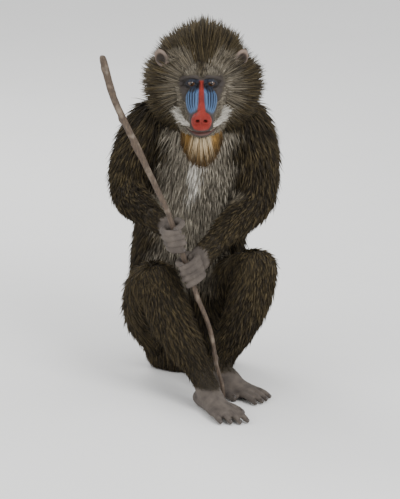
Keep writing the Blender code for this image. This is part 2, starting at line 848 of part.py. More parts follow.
def hood_point(around, back):
    """A point of the hood's core and its normal there.

    around is measured from straight up towards the animal's left, back from the front pole.
    """
    unit = Vector((math.sin(back) * math.sin(around), -math.cos(back), math.sin(back) * math.cos(around)))
    deep = HOOD_FRONT if unit.y < 0 else HOOD_RADII.y
    radii = (HOOD_RADII.x, deep, HOOD_RADII.z)
    point = Vector(u * r for u, r in zip(unit, radii))
    normal = Vector(u / r for u, r in zip(unit, radii)).normalized()
    return EYE_LINE + HOOD_CENTRE + point, normal


def hood_core(name):
    """An egg with a flattened front."""
    verts, faces = ball((0, 0, 0), (1, 1, 1), Matrix.Rotation(math.pi / 2, 3, "X"), rings=9, sides=20)
    placed = []
    for v in verts:
        deep = HOOD_FRONT if v.y < 0 else HOOD_RADII.y
        placed.append(EYE_LINE + HOOD_CENTRE + Vector((v.x * HOOD_RADII.x, v.y * deep, v.z * HOOD_RADII.z)))
    return mesh_object(name, [(placed, faces)])


def sector(thing, low, high):
    """Only what lies between two angles from straight up, round the head's long axis, is kept."""
    centre = EYE_LINE + HOOD_CENTRE
    for angle, sign in ((low, -1), (high, 1)):
        outward = Vector((math.cos(angle), 0, -math.sin(angle))) * sign
        cut_flat(thing, centre - outward * GAP / 2, outward)


# Rows of the hood: angle back from the front pole, lift of the locks, their length and their width
HOOD_ROWS = (
    (32, 14, 0.062, 0.025),
    (47, 32, 0.080, 0.030),
    (65, 44, 0.092, 0.034),
    (87, 45, 0.096, 0.038),
    (111, 37, 0.092, 0.042),
    (137, 24, 0.088, 0.046),
)


def hood_locks(low, high, draw):
    """Locks that spread from the face's edge and turn back and down behind. A few stand up at the peak."""
    locks = []
    for row, (back, lift, length, width) in enumerate(HOOD_ROWS):
        back = math.radians(back)
        radius = math.sin(back) * HOOD_RADII.x
        count = max(2, round((high - low) * radius / (width * 0.92)))
        for i in range(count):
            share = (i + 0.5 + (0.22 if row % 2 else -0.22) + draw.uniform(-0.1, 0.1)) / count
            around = low + (high - low) * min(max(share, 0.07), 0.93)
            point, normal = hood_point(around, back + draw.uniform(-0.05, 0.05))
            ear_side = math.copysign(1, point.x - EYE_LINE.x)
            ear = EYE_LINE + Vector((EAR_PLACE.x * ear_side, EAR_PLACE.y, EAR_PLACE.z))
            if (point - ear).length < 0.027 or (row > 3 and abs(around) > 1.9):
                continue
            spread = Vector((math.sin(around), 0, math.cos(around)))
            behind = max(0.0, -math.cos(back))
            lie = spread * (1 - behind) + Vector((0, 0.9, -0.9 * behind - 0.15))
            peak = math.exp(-((around / 0.30) ** 2)) * (row in (2, 3))
            flat = 0.72 + 0.28 * abs(math.sin(around))
            locks.append(
                lock(
                    point,
                    normal,
                    lie,
                    length * draw.uniform(0.90, 1.10) * (1 + 0.08 * peak),
                    width * draw.uniform(0.90, 1.10),
                    lift * flat + draw.uniform(-3, 3) + 8 * peak,
                    bend=1.3,
                    sway=draw.uniform(-0.14, 0.14),
                )
            )
    return locks


def make_hood(head, ears, neck, chest, back, arms):
    """The crown and the two sides of the ruff, parted by cuts that run along the lie of their locks."""
    draw = random.Random(11)
    nodes = []
    spans = (
        ("crown", -CROWN_HALF_ANGLE, CROWN_HALF_ANGLE),
        ("ruff_left", CROWN_HALF_ANGLE, HOOD_END),
        ("ruff_right", -HOOD_END, -CROWN_HALF_ANGLE),
    )
    for name, low, high in spans:
        core = hood_core(name)
        grow(core, hood_locks(low, high, draw))
        sector(core, low, high)
        nodes.append(core)
    for node in nodes:
        carve(node, head, chest, back)
        carve(node, neck, gap=0.0008)
        carve(node, *ears, gap=0.002)
        carve(node, *arms)
    return nodes


# Rows of the beard: angle from straight down, number of locks, their length
BEARD_CENTRE = Vector((0, -0.036, -0.099))
BEARD_RADII = Vector((0.045, 0.058, 0.027))
BEARD_ROWS = ((14, 3, 0.064), (42, 5, 0.062), (68, 7, 0.057), (92, 8, 0.050))
BEARD_SWEEP = math.radians(118)


def make_beard(head, neck, chest, ruffs):
    """A full beard that hangs from the whole jaw and draws in to a point."""
    draw = random.Random(5)
    centre = EYE_LINE + BEARD_CENTRE
    core = mesh_object("beard", [ball(centre, BEARD_RADII, rings=6, sides=12)])
    locks = []
    for polar, count, length in BEARD_ROWS:
        polar = math.radians(polar)
        for i in range(count):
            around = BEARD_SWEEP * (2 * (i + 0.5) / count - 1) + draw.uniform(-0.05, 0.05)
            level = math.sin(polar)
            unit = Vector((level * math.sin(around), -level * math.cos(around), -math.cos(polar)))
            point = centre + Vector(u * r for u, r in zip(unit, BEARD_RADII))
            inward = 0.45 + 0.35 * abs(unit.x)
            down = Vector((-unit.x * inward, -unit.y * 0.35 + 0.08, -1))
            outward = Vector((unit.x, unit.y - 0.2, -0.15))
            locks.append(
                lock(
                    point,
                    outward,
                    down,
                    length * draw.uniform(0.88, 1.10) * (1 - 0.25 * abs(unit.x)),
                    draw.uniform(0.022, 0.027),
                    12,
                    sway=draw.uniform(-0.12, 0.12),
                )
            )
    grow(core, locks)
    carve(core, head, neck, chest, *ruffs)
    return core


# Rows of the mantle: height above its centre, number of locks, their length
MANTLE_CENTRE = Vector((0.006, 0.062, 0.583))
MANTLE_RADII = Vector((0.130, 0.094, 0.088))
NAPE_CENTRE = Vector((0.010, 0.066, 0.655))
NAPE_RADII = Vector((0.078, 0.062, 0.062))
NAPE_LENGTH = 0.084
MANTLE_ROWS = ((0.030, 6, 0.074), (-0.006, 7, 0.078), (-0.042, 8, 0.080))


def make_mantle(chest, back, neck, arms, hood):
    """The longer coat of the nape and shoulders, in overlapping rows down the back."""
    draw = random.Random(3)
    core = mesh_object("mantle", [ball(MANTLE_CENTRE, MANTLE_RADII, rings=8, sides=18)])
    nape = mesh_object("nape", [ball(NAPE_CENTRE, NAPE_RADII, rings=6, sides=14)])
    boolean(core, nape, "UNION")
    bpy.data.objects.remove(nape, do_unlink=True)
    cut_flat(core, (0, 0.045, 0), (0, -1, 0))
    locks = []
    for turns, height in (((-0.8, 0.0, 0.8), 0.052), ((-0.95, -0.32, 0.32, 0.95), 0.022)):
        ring = math.sqrt(1 - (height / NAPE_RADII.z) ** 2)
        for turn in turns:
            normal = Vector((math.sin(turn), math.cos(turn), 0.3 + 8 * height))
            spot = Vector((ring * NAPE_RADII.x * math.sin(turn), ring * NAPE_RADII.y * math.cos(turn), height))
            sway = draw.uniform(-0.15, 0.15)
            lie = Vector((0, 0.2, -1))
            locks.append(lock(NAPE_CENTRE + spot, normal, lie, NAPE_LENGTH, 0.040, 22, bend=1.1, sway=sway))
    for row, (height, count, length) in enumerate(MANTLE_ROWS):
        ring = math.sqrt(1 - (height / MANTLE_RADII.z) ** 2)
        for i in range(count):
            share = (i + 0.5 + (0.2 if row % 2 else -0.2)) / count
            around = math.radians(6 + 168 * share) + draw.uniform(-0.04, 0.04)
            unit = Vector((math.cos(around) * ring, math.sin(around) * ring, height / MANTLE_RADII.z))
            point = MANTLE_CENTRE + Vector(u * r for u, r in zip(unit, MANTLE_RADII))
            normal = Vector(u / r for u, r in zip(unit, MANTLE_RADII)).normalized()
            locks.append(
                lock(
                    point,
                    normal,
                    Vector((0, 0.25, -1)),
                    length * draw.uniform(0.9, 1.1),
                    draw.uniform(0.036, 0.042),
                    20,
                    bend=1.0,
                    sway=draw.uniform(-0.15, 0.15),
                )
            )
    grow(core, locks)
    carve(core, chest, back, neck, *arms, *hood)
    return core


def set_material(name, *things):
    material = bpy.data.materials.get(name)
    if material is None:
        material = bpy.data.materials.new(name)
        material.use_nodes = True
        shader = material.node_tree.nodes["Principled BSDF"]
        colour, roughness = COLOURS[name]
        shader.inputs["Base Color"].default_value = (*colour, 1)
        shader.inputs["Roughness"].default_value = roughness
        shader.inputs["Metallic"].default_value = 0.0
    for thing in things:
        thing.data.materials.clear()
        thing.data.materials.append(material)
        thing.data.shade_smooth()
        thing.data.set_sharp_from_angle(angle=math.radians(50))


def centre_on_floor():
    """The frame's origin is under the middle of the whole model's box."""
    nodes = [o for o in bpy.context.scene.objects if o.type == "MESH"]
    points = np.vstack([[v.co[:] for v in o.data.vertices] for o in nodes])
    low, high = points.min(axis=0), points.max(axis=0)
    shift = Vector((-(low[0] + high[0]) / 2, -(low[1] + high[1]) / 2, 0))
    for node in nodes:
        node.data.transform(Matrix.Translation(shift))
    return shift


def build():
    clear_scene()
    head, eyes = make_head()
    ears = make_ears(head)
    rump, chest, back, neck = make_trunk(head)
    tail = make_tail(rump, back)
    right_names, left_names = ("upper_arm_right", "forearm_right"), ("upper_arm_left", "forearm_left")
    right_arm, right_forearm = make_limb(right_names, RIGHT_ARM, RIGHT_FOREARM, 330)
    left_arm, left_forearm = make_limb(left_names, LEFT_ARM, LEFT_FOREARM, 330)
    right_thigh, right_shin = make_limb(("thigh_right", "shin_right"), RIGHT_THIGH, RIGHT_SHIN, 400)
    left_thigh, left_shin = make_limb(("thigh_left", "shin_left"), LEFT_THIGH, LEFT_SHIN, 400)
    stick = make_stick()
    right_wrist, right_across = end_plane(RIGHT_FOREARM)
    left_wrist, left_across = end_plane(LEFT_FOREARM)
    right_hand = grip_hand("hand_right", 0.385, right_wrist, 0.0240, 1, 500)
    left_hand = grip_hand("hand_left", 0.302, left_wrist, 0.0232, -1, 500)
    right_ankle, right_down = end_plane(RIGHT_SHIN)
    left_ankle, left_down = end_plane(LEFT_SHIN)
    right_foot = make_foot("foot_right", (0.010, -0.283, 0), math.radians(-62), 1, right_ankle, 520)
    left_foot = make_foot("foot_left", (0.037, -0.140, 0), math.radians(-50), -1, left_ankle, 520)
    for limb, end, point, along in (
        (right_forearm, right_hand, right_wrist, right_across),
        (left_forearm, left_hand, left_wrist, left_across),
        (right_shin, right_foot, right_ankle, right_down),
        (left_shin, left_foot, left_ankle, left_down),
    ):
        along = along.normalized()
        cut_flat(limb, point - along * GAP / 2, along)
        cut_flat(end, point + along * GAP / 2, -along)
    carve(right_hand, stick)
    carve(left_hand, stick)
    for limb in (right_arm, left_arm):
        carve(limb, chest, back, neck)
    for limb in (right_forearm, left_forearm):
        carve(limb, chest)
    for limb in (right_thigh, left_thigh):
        cut_flat(limb, (0, 0, FLOOR + 0.004), (0, 0, -1))
        carve(limb, rump, chest, back)
    carve(right_thigh, left_thigh)
    for limb in (right_shin, left_shin):
        carve(limb, rump, chest)
    arms = (right_arm, left_arm)
    crown, ruff_left, ruff_right = make_hood(head, ears, neck, chest, back, arms)
    beard = make_beard(head, neck, chest, (ruff_left, ruff_right))
    mantle = make_mantle(chest, back, neck, arms, (crown, ruff_left, ruff_right))

    set_material("face", head)
    set_material("eye", *eyes)
    set_material("bare_skin", *ears, right_hand, left_hand, right_foot, left_foot)
    set_material("pale_coat", chest)
    set_material("beard", beard)
    set_material("bark", stick)
    set_material(
        "coat",
        back,
        neck,
        rump,
        tail,
        right_arm,
        left_arm,
        right_forearm,
        left_forearm,
        right_thigh,
        left_thigh,
        right_shin,
        left_shin,
        crown,
        ruff_left,
        ruff_right,
        mantle,
    )
    return centre_on_floor()


SHIFT = build()
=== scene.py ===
import bpy
import numpy as np
from math import cos, pi, radians, sin, sqrt
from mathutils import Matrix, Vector
from mathutils.bvhtree import BVHTree


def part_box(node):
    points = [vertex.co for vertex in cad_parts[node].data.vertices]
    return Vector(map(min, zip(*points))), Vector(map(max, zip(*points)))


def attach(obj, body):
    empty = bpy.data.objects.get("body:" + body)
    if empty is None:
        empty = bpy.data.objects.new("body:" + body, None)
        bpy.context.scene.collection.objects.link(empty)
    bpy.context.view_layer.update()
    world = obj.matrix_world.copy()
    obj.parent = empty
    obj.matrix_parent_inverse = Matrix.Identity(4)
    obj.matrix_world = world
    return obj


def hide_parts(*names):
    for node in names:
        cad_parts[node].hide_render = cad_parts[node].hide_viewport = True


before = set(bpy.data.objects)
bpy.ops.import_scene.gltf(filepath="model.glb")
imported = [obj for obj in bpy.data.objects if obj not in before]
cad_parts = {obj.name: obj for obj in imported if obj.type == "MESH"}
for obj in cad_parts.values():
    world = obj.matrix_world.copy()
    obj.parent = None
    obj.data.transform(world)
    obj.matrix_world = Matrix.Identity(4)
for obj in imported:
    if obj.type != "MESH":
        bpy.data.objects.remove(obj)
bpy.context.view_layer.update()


# The animal's body under its coat: flesh and hide, in one piece from the nose to the toes.
# It is one skin drawn over every part of the solid model, sunk by the depth of the coat,
# with a full bed of short underfur on the crown, the throat and the shoulders.

# The middle between the eyes, half their distance apart, and the zero of all the tables of places
eye_middles = [(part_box(n)[0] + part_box(n)[1]) / 2 for n in ("eye_right", "eye_left")]
EYES = np.array((eye_middles[0] + eye_middles[1]) / 2)
SPREAD = (eye_middles[1] - eye_middles[0]).x / 2
PLACE = EYES - np.array((0.01, -0.105, 0.7))

FLESH = (
    "neck", "chest", "back", "rump", "tail", "upper_arm_right", "upper_arm_left", "forearm_right",
    "forearm_left", "thigh_right", "thigh_left", "shin_right", "shin_left",
)
HANDS_AND_FEET = ("hand_right", "hand_left", "foot_right", "foot_left")
# Edge of the even squares that each part's skin is drawn with
BODY_VOXEL = 0.0068
HAND_VOXEL = 0.0016
FOOT_VOXEL = 0.003
HEAD_VOXEL = 0.0019
# How deep the hide lies, as a share of the coat's length, and how much deeper at the ankles
COAT_DEPTH = 0.17
ANKLE_DEPTH = 0.003


def alone(*things):
    """Only these objects are selected, and the first is active."""
    if bpy.context.object and bpy.context.object.mode != "OBJECT":
        bpy.ops.object.mode_set(mode="OBJECT")
    bpy.ops.object.select_all(action="DESELECT")
    for thing in things:
        thing.select_set(True)
    bpy.context.view_layer.objects.active = things[0]


def applied(thing, kind, **settings):
    """One modifier is added with its settings and applied."""
    alone(thing)
    made = thing.modifiers.new(kind.lower(), kind)
    for key, value in settings.items():
        setattr(made, key, value)
    bpy.ops.object.modifier_apply(modifier=made.name)


def subdivided(thing, levels):
    applied(thing, "SUBSURF", levels=levels, render_levels=levels)


def resurfaced(thing, voxel, passes):
    """The mesh is drawn anew over its own shape in even squares, and smoothed."""
    applied(thing, "REMESH", mode="VOXEL", voxel_size=voxel)
    applied(thing, "SMOOTH", factor=0.5, iterations=passes)


def edited(thing, work, **settings):
    """One operator of edit mode works on the whole mesh."""
    alone(thing)
    bpy.ops.object.mode_set(mode="EDIT")
    bpy.ops.mesh.select_all(action="SELECT")
    work(**settings)
    bpy.ops.object.mode_set(mode="OBJECT")


def joined(name, things):
    """The first of these objects takes in the others and gets a new name."""
    alone(*things)
    bpy.ops.object.join()
    things[0].name = name
    things[0].data.name = name
    return things[0]


def copied(name, nodes):
    """Copies of solid nodes as one mesh, with their doubled points merged."""
    copies = []
    for node in nodes:
        twin = bpy.data.objects.new(node + "_flesh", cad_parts[node].data.copy())
        bpy.context.scene.collection.objects.link(twin)
        copies.append(twin)
    whole = joined(name, copies)
    whole.data.materials.clear()
    edited(whole, bpy.ops.mesh.remove_doubles, threshold=0.00002)
    return whole


def points_of(thing, key="co"):
    """The places of a mesh's points, or with another key their normals."""
    flat = np.empty(len(thing.data.vertices) * 3)
    thing.data.vertices.foreach_get(key, flat)
    return flat.reshape(-1, 3)


def moved(thing, points):
    thing.data.vertices.foreach_set("co", points.ravel())
    thing.data.update()


def egg(name, centre, radii, rings=32, sides=48):
    """A ball at a place, stretched to three radii."""
    bpy.ops.mesh.primitive_uv_sphere_add(segments=sides, ring_count=rings, radius=1, location=tuple(centre))
    made = bpy.context.object
    made.name = name
    made.scale = radii
    bpy.ops.object.transform_apply(location=True, rotation=True, scale=True)
    return made


def unit(v):
    v = np.asarray(v, float)
    return v / np.maximum(np.linalg.norm(v, axis=-1, keepdims=True), 1e-9)


def far(ways):
    """How long each way is."""
    return np.linalg.norm(ways, axis=1)


def laid(ways, normals):
    """Ways turned to run along the skin."""
    return unit(ways - normals * (ways * normals).sum(axis=1, keepdims=True))


def bump(x, half_width):
    """1 at 0, falling smoothly to 0 at the half width."""
    x = np.clip(np.abs(x) / half_width, 0, 1)
    return (1 - x * x) ** 2


def step(low, high, x):
    """0 at the first value and 1 at the second, with a smooth rise between."""
    t = np.clip((x - low) / (high - low), 0, 1)
    return t * t * (3 - 2 * t)


def table(*rows):
    """Rows in millimetres as an array in metres."""
    return np.array(rows) / 1000


# Rows along the limbs and trunk: x, y, z, radius of the flesh, length of the coat there
TRUNK = table(
    (10, 26, 650, 70, 40), (8, 40, 590, 100, 50), (2, 48, 500, 116, 50), (-8, 60, 400, 120, 48),
    (-16, 64, 300, 122, 46), (-21, 62, 200, 120, 42), (-21, 55, 110, 108, 36), (-20, 52, 20, 100, 26),
)
TAIL = table((-21, 166, 130, 24, 26), (-20, 184, 150, 22, 28), (-19, 190, 180, 18, 30))
RIGHT_ARM = table(
    (-98, 30, 572, 62, 52), (-134, 12, 520, 56, 48), (-152, -12, 470, 48, 42), (-155, -38, 430, 44, 36),
)
RIGHT_FOREARM = table(
    (-155, -38, 430, 43, 36), (-142, -85, 420, 41, 34), (-118, -130, 410, 34, 30),
    (-97, -167, 402, 26, 20), (-80, -200, 395, 24, 13), (-62, -225, 390, 24, 8),
)
LEFT_ARM = table(
    (108, 30, 572, 62, 52), (133, 10, 515, 55, 48), (139, -18, 460, 48, 42), (135, -45, 412, 44, 36),
)
LEFT_FOREARM = table(
    (135, -45, 412, 43, 36), (108, -92, 394, 41, 34), (68, -142, 368, 33, 30), (34, -185, 346, 25, 20),
    (12, -212, 333, 23, 13), (-4, -228, 324, 23, 8),
)
RIGHT_THIGH = table(
    (-80, 30, 125, 86, 44), (-94, -50, 185, 76, 40), (-96, -125, 234, 60, 34), (-86, -182, 256, 47, 28),
)
RIGHT_SHIN = table(
    (-84, -184, 254, 46, 28), (-68, -206, 204, 51, 32), (-38, -238, 148, 45, 30), (-4, -274, 94, 35, 24),
    (16, -297, 60, 30, 16), (34, -326, 32, 28, 10), (58, -372, 20, 28, 7),
)
LEFT_THIGH = table(
    (45, 30, 128, 86, 44), (86, -40, 202, 76, 40), (123, -108, 260, 59, 34), (137, -148, 281, 46, 28),
)
LEFT_SHIN = table(
    (137, -149, 279, 45, 28), (122, -158, 224, 51, 32), (98, -166, 160, 44, 30), (70, -168, 100, 34, 24),
    (52, -168, 62, 28, 16), (68, -182, 32, 28, 10), (104, -222, 20, 28, 7),
)
ANKLES = (RIGHT_SHIN[4, :3], LEFT_SHIN[4, :3])
LINES = (
    TRUNK, TAIL, RIGHT_ARM, RIGHT_FOREARM, LEFT_ARM, LEFT_FOREARM,
    RIGHT_THIGH, RIGHT_SHIN, LEFT_THIGH, LEFT_SHIN,
)
# How much more the hair of the thighs falls than it runs along them, and how much all hair falls
THIGH_FALL = 1.8
COAT_FALL = 0.12


def guide_table():
    """Every row as a guide: place, radius of the flesh, length of the coat and the way it lies."""
    rows = []
    for line in LINES:
        fall = (0, 0, -THIGH_FALL if line is RIGHT_THIGH or line is LEFT_THIGH else 0)
        for a, b in zip(line[:-1], line[1:]):
            for t in (0.0, 0.34, 0.67):
                rows.append((*(a * (1 - t) + b * t), *unit(unit(b[:3] - a[:3]) + fall)))
        rows.append((*line[-1], *unit(line[-1, :3] - line[-2, :3])))
    rows = np.array(rows)
    rows[:, :3] += PLACE
    return rows


GUIDES = guide_table()


def lie_and_length(points, normals, batch=20000):
    """The way the coat lies at each point, along the skin, and how long it is."""
    lie, length = np.empty_like(points), np.empty(len(points))
    for start in range(0, len(points), batch):
        part = slice(start, start + batch)
        gap = np.linalg.norm(points[part, None, :] - GUIDES[None, :, :3], axis=2) / GUIDES[None, :, 3]
        weight = np.exp(-3.2 * gap * gap)
        weight /= weight.sum(axis=1, keepdims=True) + 1e-30
        lie[part] = weight @ GUIDES[:, 5:8]
        length[part] = weight @ GUIDES[:, 4]
    lie[:, 2] -= COAT_FALL
    return laid(lie, normals), length


# Beds of hair, each a middle and radii: the crown with its ruff, the beard, the mantle and the nape
HOOD = np.array((0.004, 0.052, -0.016)) + EYES
HOOD_RADII = np.array((0.088, 0.088, 0.086))
HOOD_FRONT = 0.052
BEARD = np.array((0, -0.022, -0.098)) + EYES
BEARD_RADII = np.array((0.042, 0.062, 0.022))
MANTLE = np.array((0.006, 0.066, 0.583)) + PLACE
MANTLE_RADII = np.array((0.118, 0.082, 0.08))
NAPE = np.array((0.01, 0.07, 0.655)) + PLACE
NAPE_RADII = np.array((0.07, 0.056, 0.056))

body = copied("body", FLESH)
moved(body, points_of(body) + points_of(body, "normal") * 0.0006)
hood_bed = egg("hood_bed", HOOD, HOOD_RADII)
shape = points_of(hood_bed)
front = shape[:, 1] < HOOD[1]
shape[front, 1] = HOOD[1] + (shape[front, 1] - HOOD[1]) * HOOD_FRONT / HOOD_RADII[1]
moved(hood_bed, shape)
beds = [
    hood_bed, egg("mantle_bed", MANTLE, MANTLE_RADII), egg("nape_bed", NAPE, NAPE_RADII),
    egg("beard_bed", BEARD, BEARD_RADII),
]
body = joined("body", [body, *beds])
resurfaced(body, BODY_VOXEL, 6)
points, normals = points_of(body), points_of(body, "normal")
length = lie_and_length(points, normals)[1]
bedded = far((points - HOOD) / (HOOD_RADII + 0.004)) < 1.0
depth = COAT_DEPTH * length * (1 - bedded)
for ankle in ANKLES:
    depth += ANKLE_DEPTH * step(0.085, 0.035, far(points - PLACE - ankle))
depth *= step(0.0, 0.03, points[:, 2])
moved(body, points - normals * depth[:, None])

# The hands close round the stick. Each has a flat palm, four jointed fingers that go round the
# stick's front and a thumb that goes behind it.

# The grip's middle, the stick's direction there, the wrist, its half width and the way round
GRIPS = (
    ((-0.046, -0.245, 0.382), (-0.321, 0.0008, 0.9471), (-0.097, -0.167, 0.402), 0.024, 1),
    ((-0.0196, -0.245, 0.3042), (-0.3057, 0.0, 0.9521), (0.034, -0.185, 0.346), 0.0232, -1),
)
FINGER_PITCH = 0.0137
# How far above the grip's middle the thumb and the first finger are, in pitches
THUMB_PLACE = 1.7
FINGER_PLACE = 1.5
FINGER_LENGTHS = (0.92, 1.04, 1.0, 0.84)
# How far each nail's middle is outward of the fingertip's and ahead of it
NAIL_OUT = 0.0049
NAIL_AHEAD = 0.0012
# Angle round the stick from the wrist's side, distance from its middle, drop and radius
FINGER_ROWS = (
    (-16, 0.035, 0.0, 0.0077), (14, 0.0325, 0.001, 0.0067), (46, 0.0275, 0.002, 0.0077),
    (78, 0.022, 0.004, 0.0065), (112, 0.0185, 0.006, 0.0072), (160, 0.0158, 0.009, 0.0067),
    (212, 0.015, 0.012, 0.0062),
)
THUMB_ROWS = (
    (-38, 0.05, 0.004, 0.0095), (-62, 0.035, 0.004, 0.0076), (-105, 0.0215, 0.004, 0.0064),
    (-150, 0.0165, 0.004, 0.0068), (-190, 0.0158, 0.004, 0.0056),
)
ANKLE_RADII = (0.026, 0.0245, 0.02)


def between(at, places, rows):
    """Rows that are known at some places, read off at others."""
    return np.stack([np.interp(at, places, column) for column in rows.T], axis=1)


def rod(name, rows, wide_axis, sides=20):
    """A round-ended rod along a smooth line. A row is a place and the radii along and across an axis."""
    rows = np.array(rows)
    fine = between(np.linspace(0, len(rows) - 1, 60), range(len(rows)), rows)
    for _ in range(6):
        fine[1:-1] = (fine[:-2] + 2 * fine[1:-1] + fine[2:]) / 4
    run = np.concatenate([[0], np.cumsum(far(np.diff(fine[:, :3], axis=0)))])
    slope = np.gradient(fine[:, :3], run, axis=0)
    made = egg(name, (0, 0, 0), (1, 1, 1), 40, sides)
    ball = points_of(made)
    share = np.arccos(np.clip(-ball[:, 2], -1, 1)) / pi
    first, last = fine[0, 4], fine[-1, 4]
    reach = share * (run[-1] + first + last) - first
    held = np.clip(reach, 0, run[-1])
    past = reach - held
    row = between(held, run, fine)
    ahead = unit(between(held, run, slope))
    across = unit(np.cross(ahead, wide_axis))
    wide = np.cross(across, ahead)
    round_end = np.sqrt(np.clip(1 - (past / np.where(past < 0, first, last)) ** 2, 0, 1))[:, None]
    turn = np.arctan2(ball[:, 1], ball[:, 0])[:, None]
    ring = wide * np.cos(turn) * row[:, 3:4] + across * np.sin(turn) * row[:, 4:5]
    moved(made, row[:, :3] + ahead * past[:, None] + ring * round_end)
    return made


def grip(middle, up, wrist, width, side):
    """The palm, fingers and thumb of one hand, and the place and directions of each nail."""
    middle, wrist, up = np.array(middle) + PLACE, np.array(wrist) + PLACE, unit(up)
    out = unit((wrist - middle) - up * ((wrist - middle) @ up))
    across = unit(np.cross(up, out)) * side
    shapes, nails, knuckles = [], [], []
    for finger, long in enumerate((*FINGER_LENGTHS, 1.0)):
        thumb = finger == len(FINGER_LENGTHS)
        base = middle + up * FINGER_PITCH * (THUMB_PLACE if thumb else FINGER_PLACE - finger)
        rows = []
        for angle, reach, drop, radius in (THUMB_ROWS if thumb else FINGER_ROWS):
            turn = radians(angle * (long if angle > 0 else 1))
            spot = base + (out * cos(turn) + across * sin(turn)) * reach - up * drop
            rows.append((*spot, radius, radius))
        if not thumb:
            knuckles.append(np.array(rows[0][:3]))
        shapes.append(rod("finger", rows, up))
        tip, before = np.array(rows[-1][:3]), np.array(rows[-2][:3])
        outward = unit(tip - base + up * ((base - tip) @ up))
        ahead = unit(tip - before)
        ahead = unit(ahead - outward * (ahead @ outward) - outward * 0.25)
        nails.append((tip + outward * NAIL_OUT + ahead * NAIL_AHEAD, ahead, outward))
    heart = (knuckles[1] + knuckles[2]) / 2
    palm = (
        (*wrist, width, width * 0.95),
        (*(wrist * 0.6 + heart * 0.4), 0.0255, 0.018),
        (*(wrist * 0.25 + heart * 0.75), 0.0282, 0.014),
        (*heart, 0.027, 0.0088),
    )
    shapes.append(rod("palm", palm, up, 40))
    return shapes, nails


hand_shapes, hand_nails = [], []
for values in GRIPS:
    shapes, nails = grip(*values)
    hand_shapes += shapes
    hand_nails += nails
hands = joined("hands", hand_shapes)
resurfaced(hands, HAND_VOXEL, 2)
feet = copied("feet", ("foot_right", "foot_left"))
subdivided(feet, 1)
ankles = []
for shin in (RIGHT_SHIN, LEFT_SHIN):
    rows = [(*(row[:3] + PLACE), radius, radius) for row, radius in zip(shin[3:6], ANKLE_RADII)]
    ankles.append(rod("ankle", rows, (1, 0, 0)))
feet = joined("feet", [feet, *ankles])
resurfaced(feet, FOOT_VOXEL, 2)

# Where these meshes are, the hide stays bare
BARE_TREES = [BVHTree.FromObject(part, bpy.context.evaluated_depsgraph_get()) for part in (hands, feet)]

head = copied("head_skin", ("head",))
behind_face = tuple(EYES + np.array((0, 0.062, 0)))
edited(
    head, bpy.ops.mesh.bisect, plane_co=behind_face, plane_no=(0, 1, 0), use_fill=True, clear_outer=True,
)
subdivided(head, 2)
resurfaced(head, HEAD_VOXEL, 4)
ears = copied("ears_skin", ("ear_right", "ear_left"))
subdivided(ears, 2)

# The face is worked on the head's own skin: six ribs to a side along the nose, the lids with
# their folds, the bare nose pad with its nostrils, and the lips that meet in one long line.
# All places here are measured from the middle between the eyes.

FACE_MIDDLE = np.array((0, -0.03, -0.03))
CHEEK_LINE = np.array((
    (0.017, -0.016, -0.015), (0.0215, -0.042, -0.0245), (0.02, -0.072, -0.041), (0.015, -0.092, -0.053),
))
NOSE_LINE = np.array(((0, -0.004, 0.004), (0, -0.042, -0.014), (0, -0.08, -0.037), (0, -0.104, -0.054)))
MOUTH_LINE = np.array((
    (0, -0.106, -0.0895), (0.011, -0.1015, -0.089), (0.0235, -0.082, -0.0855),
    (0.0325, -0.049, -0.0765), (0.0375, -0.012, -0.0648),
))
NOSE_PAD = np.array((0, -0.108, -0.062))
NOSTRIL = np.array((0.0088, 0, -0.0605))
NOSTRIL_RADII = (0.0056, 0.0044)
EAR_MIDDLE = np.array((0.089, 0.036, 0.047))
EYE_RADIUS = 0.0115
LID_HALF_WIDTH = 0.0135
LID_HALF_HEIGHT = 0.0085


def twinned(own):
    """The face's two sides laid on one."""
    return np.concatenate([np.abs(own[:, :1]), own[:, 1:]], axis=1)


def along_line(points, line, count=60):
    """For each point: the nearest place on a line, its distance, and its share of the way along."""
    fine = between(np.linspace(0, len(line) - 1, count), range(len(line)), line)
    gaps = np.linalg.norm(points[:, None, :] - fine[None, :, :], axis=2)
    near = gaps.argmin(axis=1)
    return fine[near], gaps[np.arange(len(points)), near], near / (count - 1)


def rib_wave(own):
    """How far each point is up a rib of the cheek, from 0 in a groove to 1 on a ridge, and where ribs are."""
    own = twinned(own)
    near, gap, along = along_line(own, CHEEK_LINE)
    away = own - near
    turn = np.degrees(np.arctan2(away[:, 0], away[:, 2] - 0.45 * away[:, 1])) - 22 * (along - 0.5)
    wave = 0.5 - 0.5 * np.cos(np.radians((turn + 52) * 360 / 26))
    where = bump(along - 0.47, 0.6) ** 0.6 * bump(turn - 16, 88) ** 0.6 * (gap < 0.026) * (own[:, 0] > 0.004)
    return wave, where


def mouth_level(own):
    """How far each point is above the line of the mouth, and how near it is to it."""
    near, gap, _ = along_line(twinned(own), MOUTH_LINE)
    return own[:, 2] - near[:, 2], gap


def lid_ring(own):
    """1 on the oval of the lids' edges, less inside it and more outside."""
    return np.hypot((np.abs(own[:, 0]) - SPREAD) / LID_HALF_WIDTH, own[:, 2] / LID_HALF_HEIGHT)


def nostril_ring(own):
    """1 on the oval of the nostrils' edges, less inside it and more outside."""
    x, z = np.abs(own[:, 0]) - NOSTRIL[0], own[:, 2] - NOSTRIL[2]
    return np.hypot(x / NOSTRIL_RADII[0], z / NOSTRIL_RADII[1])


def from_ear(own):
    return far(twinned(own) - EAR_MIDDLE)


def from_nose_pad(own):
    return far((own - NOSE_PAD) / (1.0, 0.8, 0.96))


def hugged(points, middle, radius):
    """Points closer to a ball's middle than its radius are set on it."""
    gap = far(points - middle)[:, None]
    return np.where(gap < radius, middle + (points - middle) / np.maximum(gap, 1e-9) * radius, points)


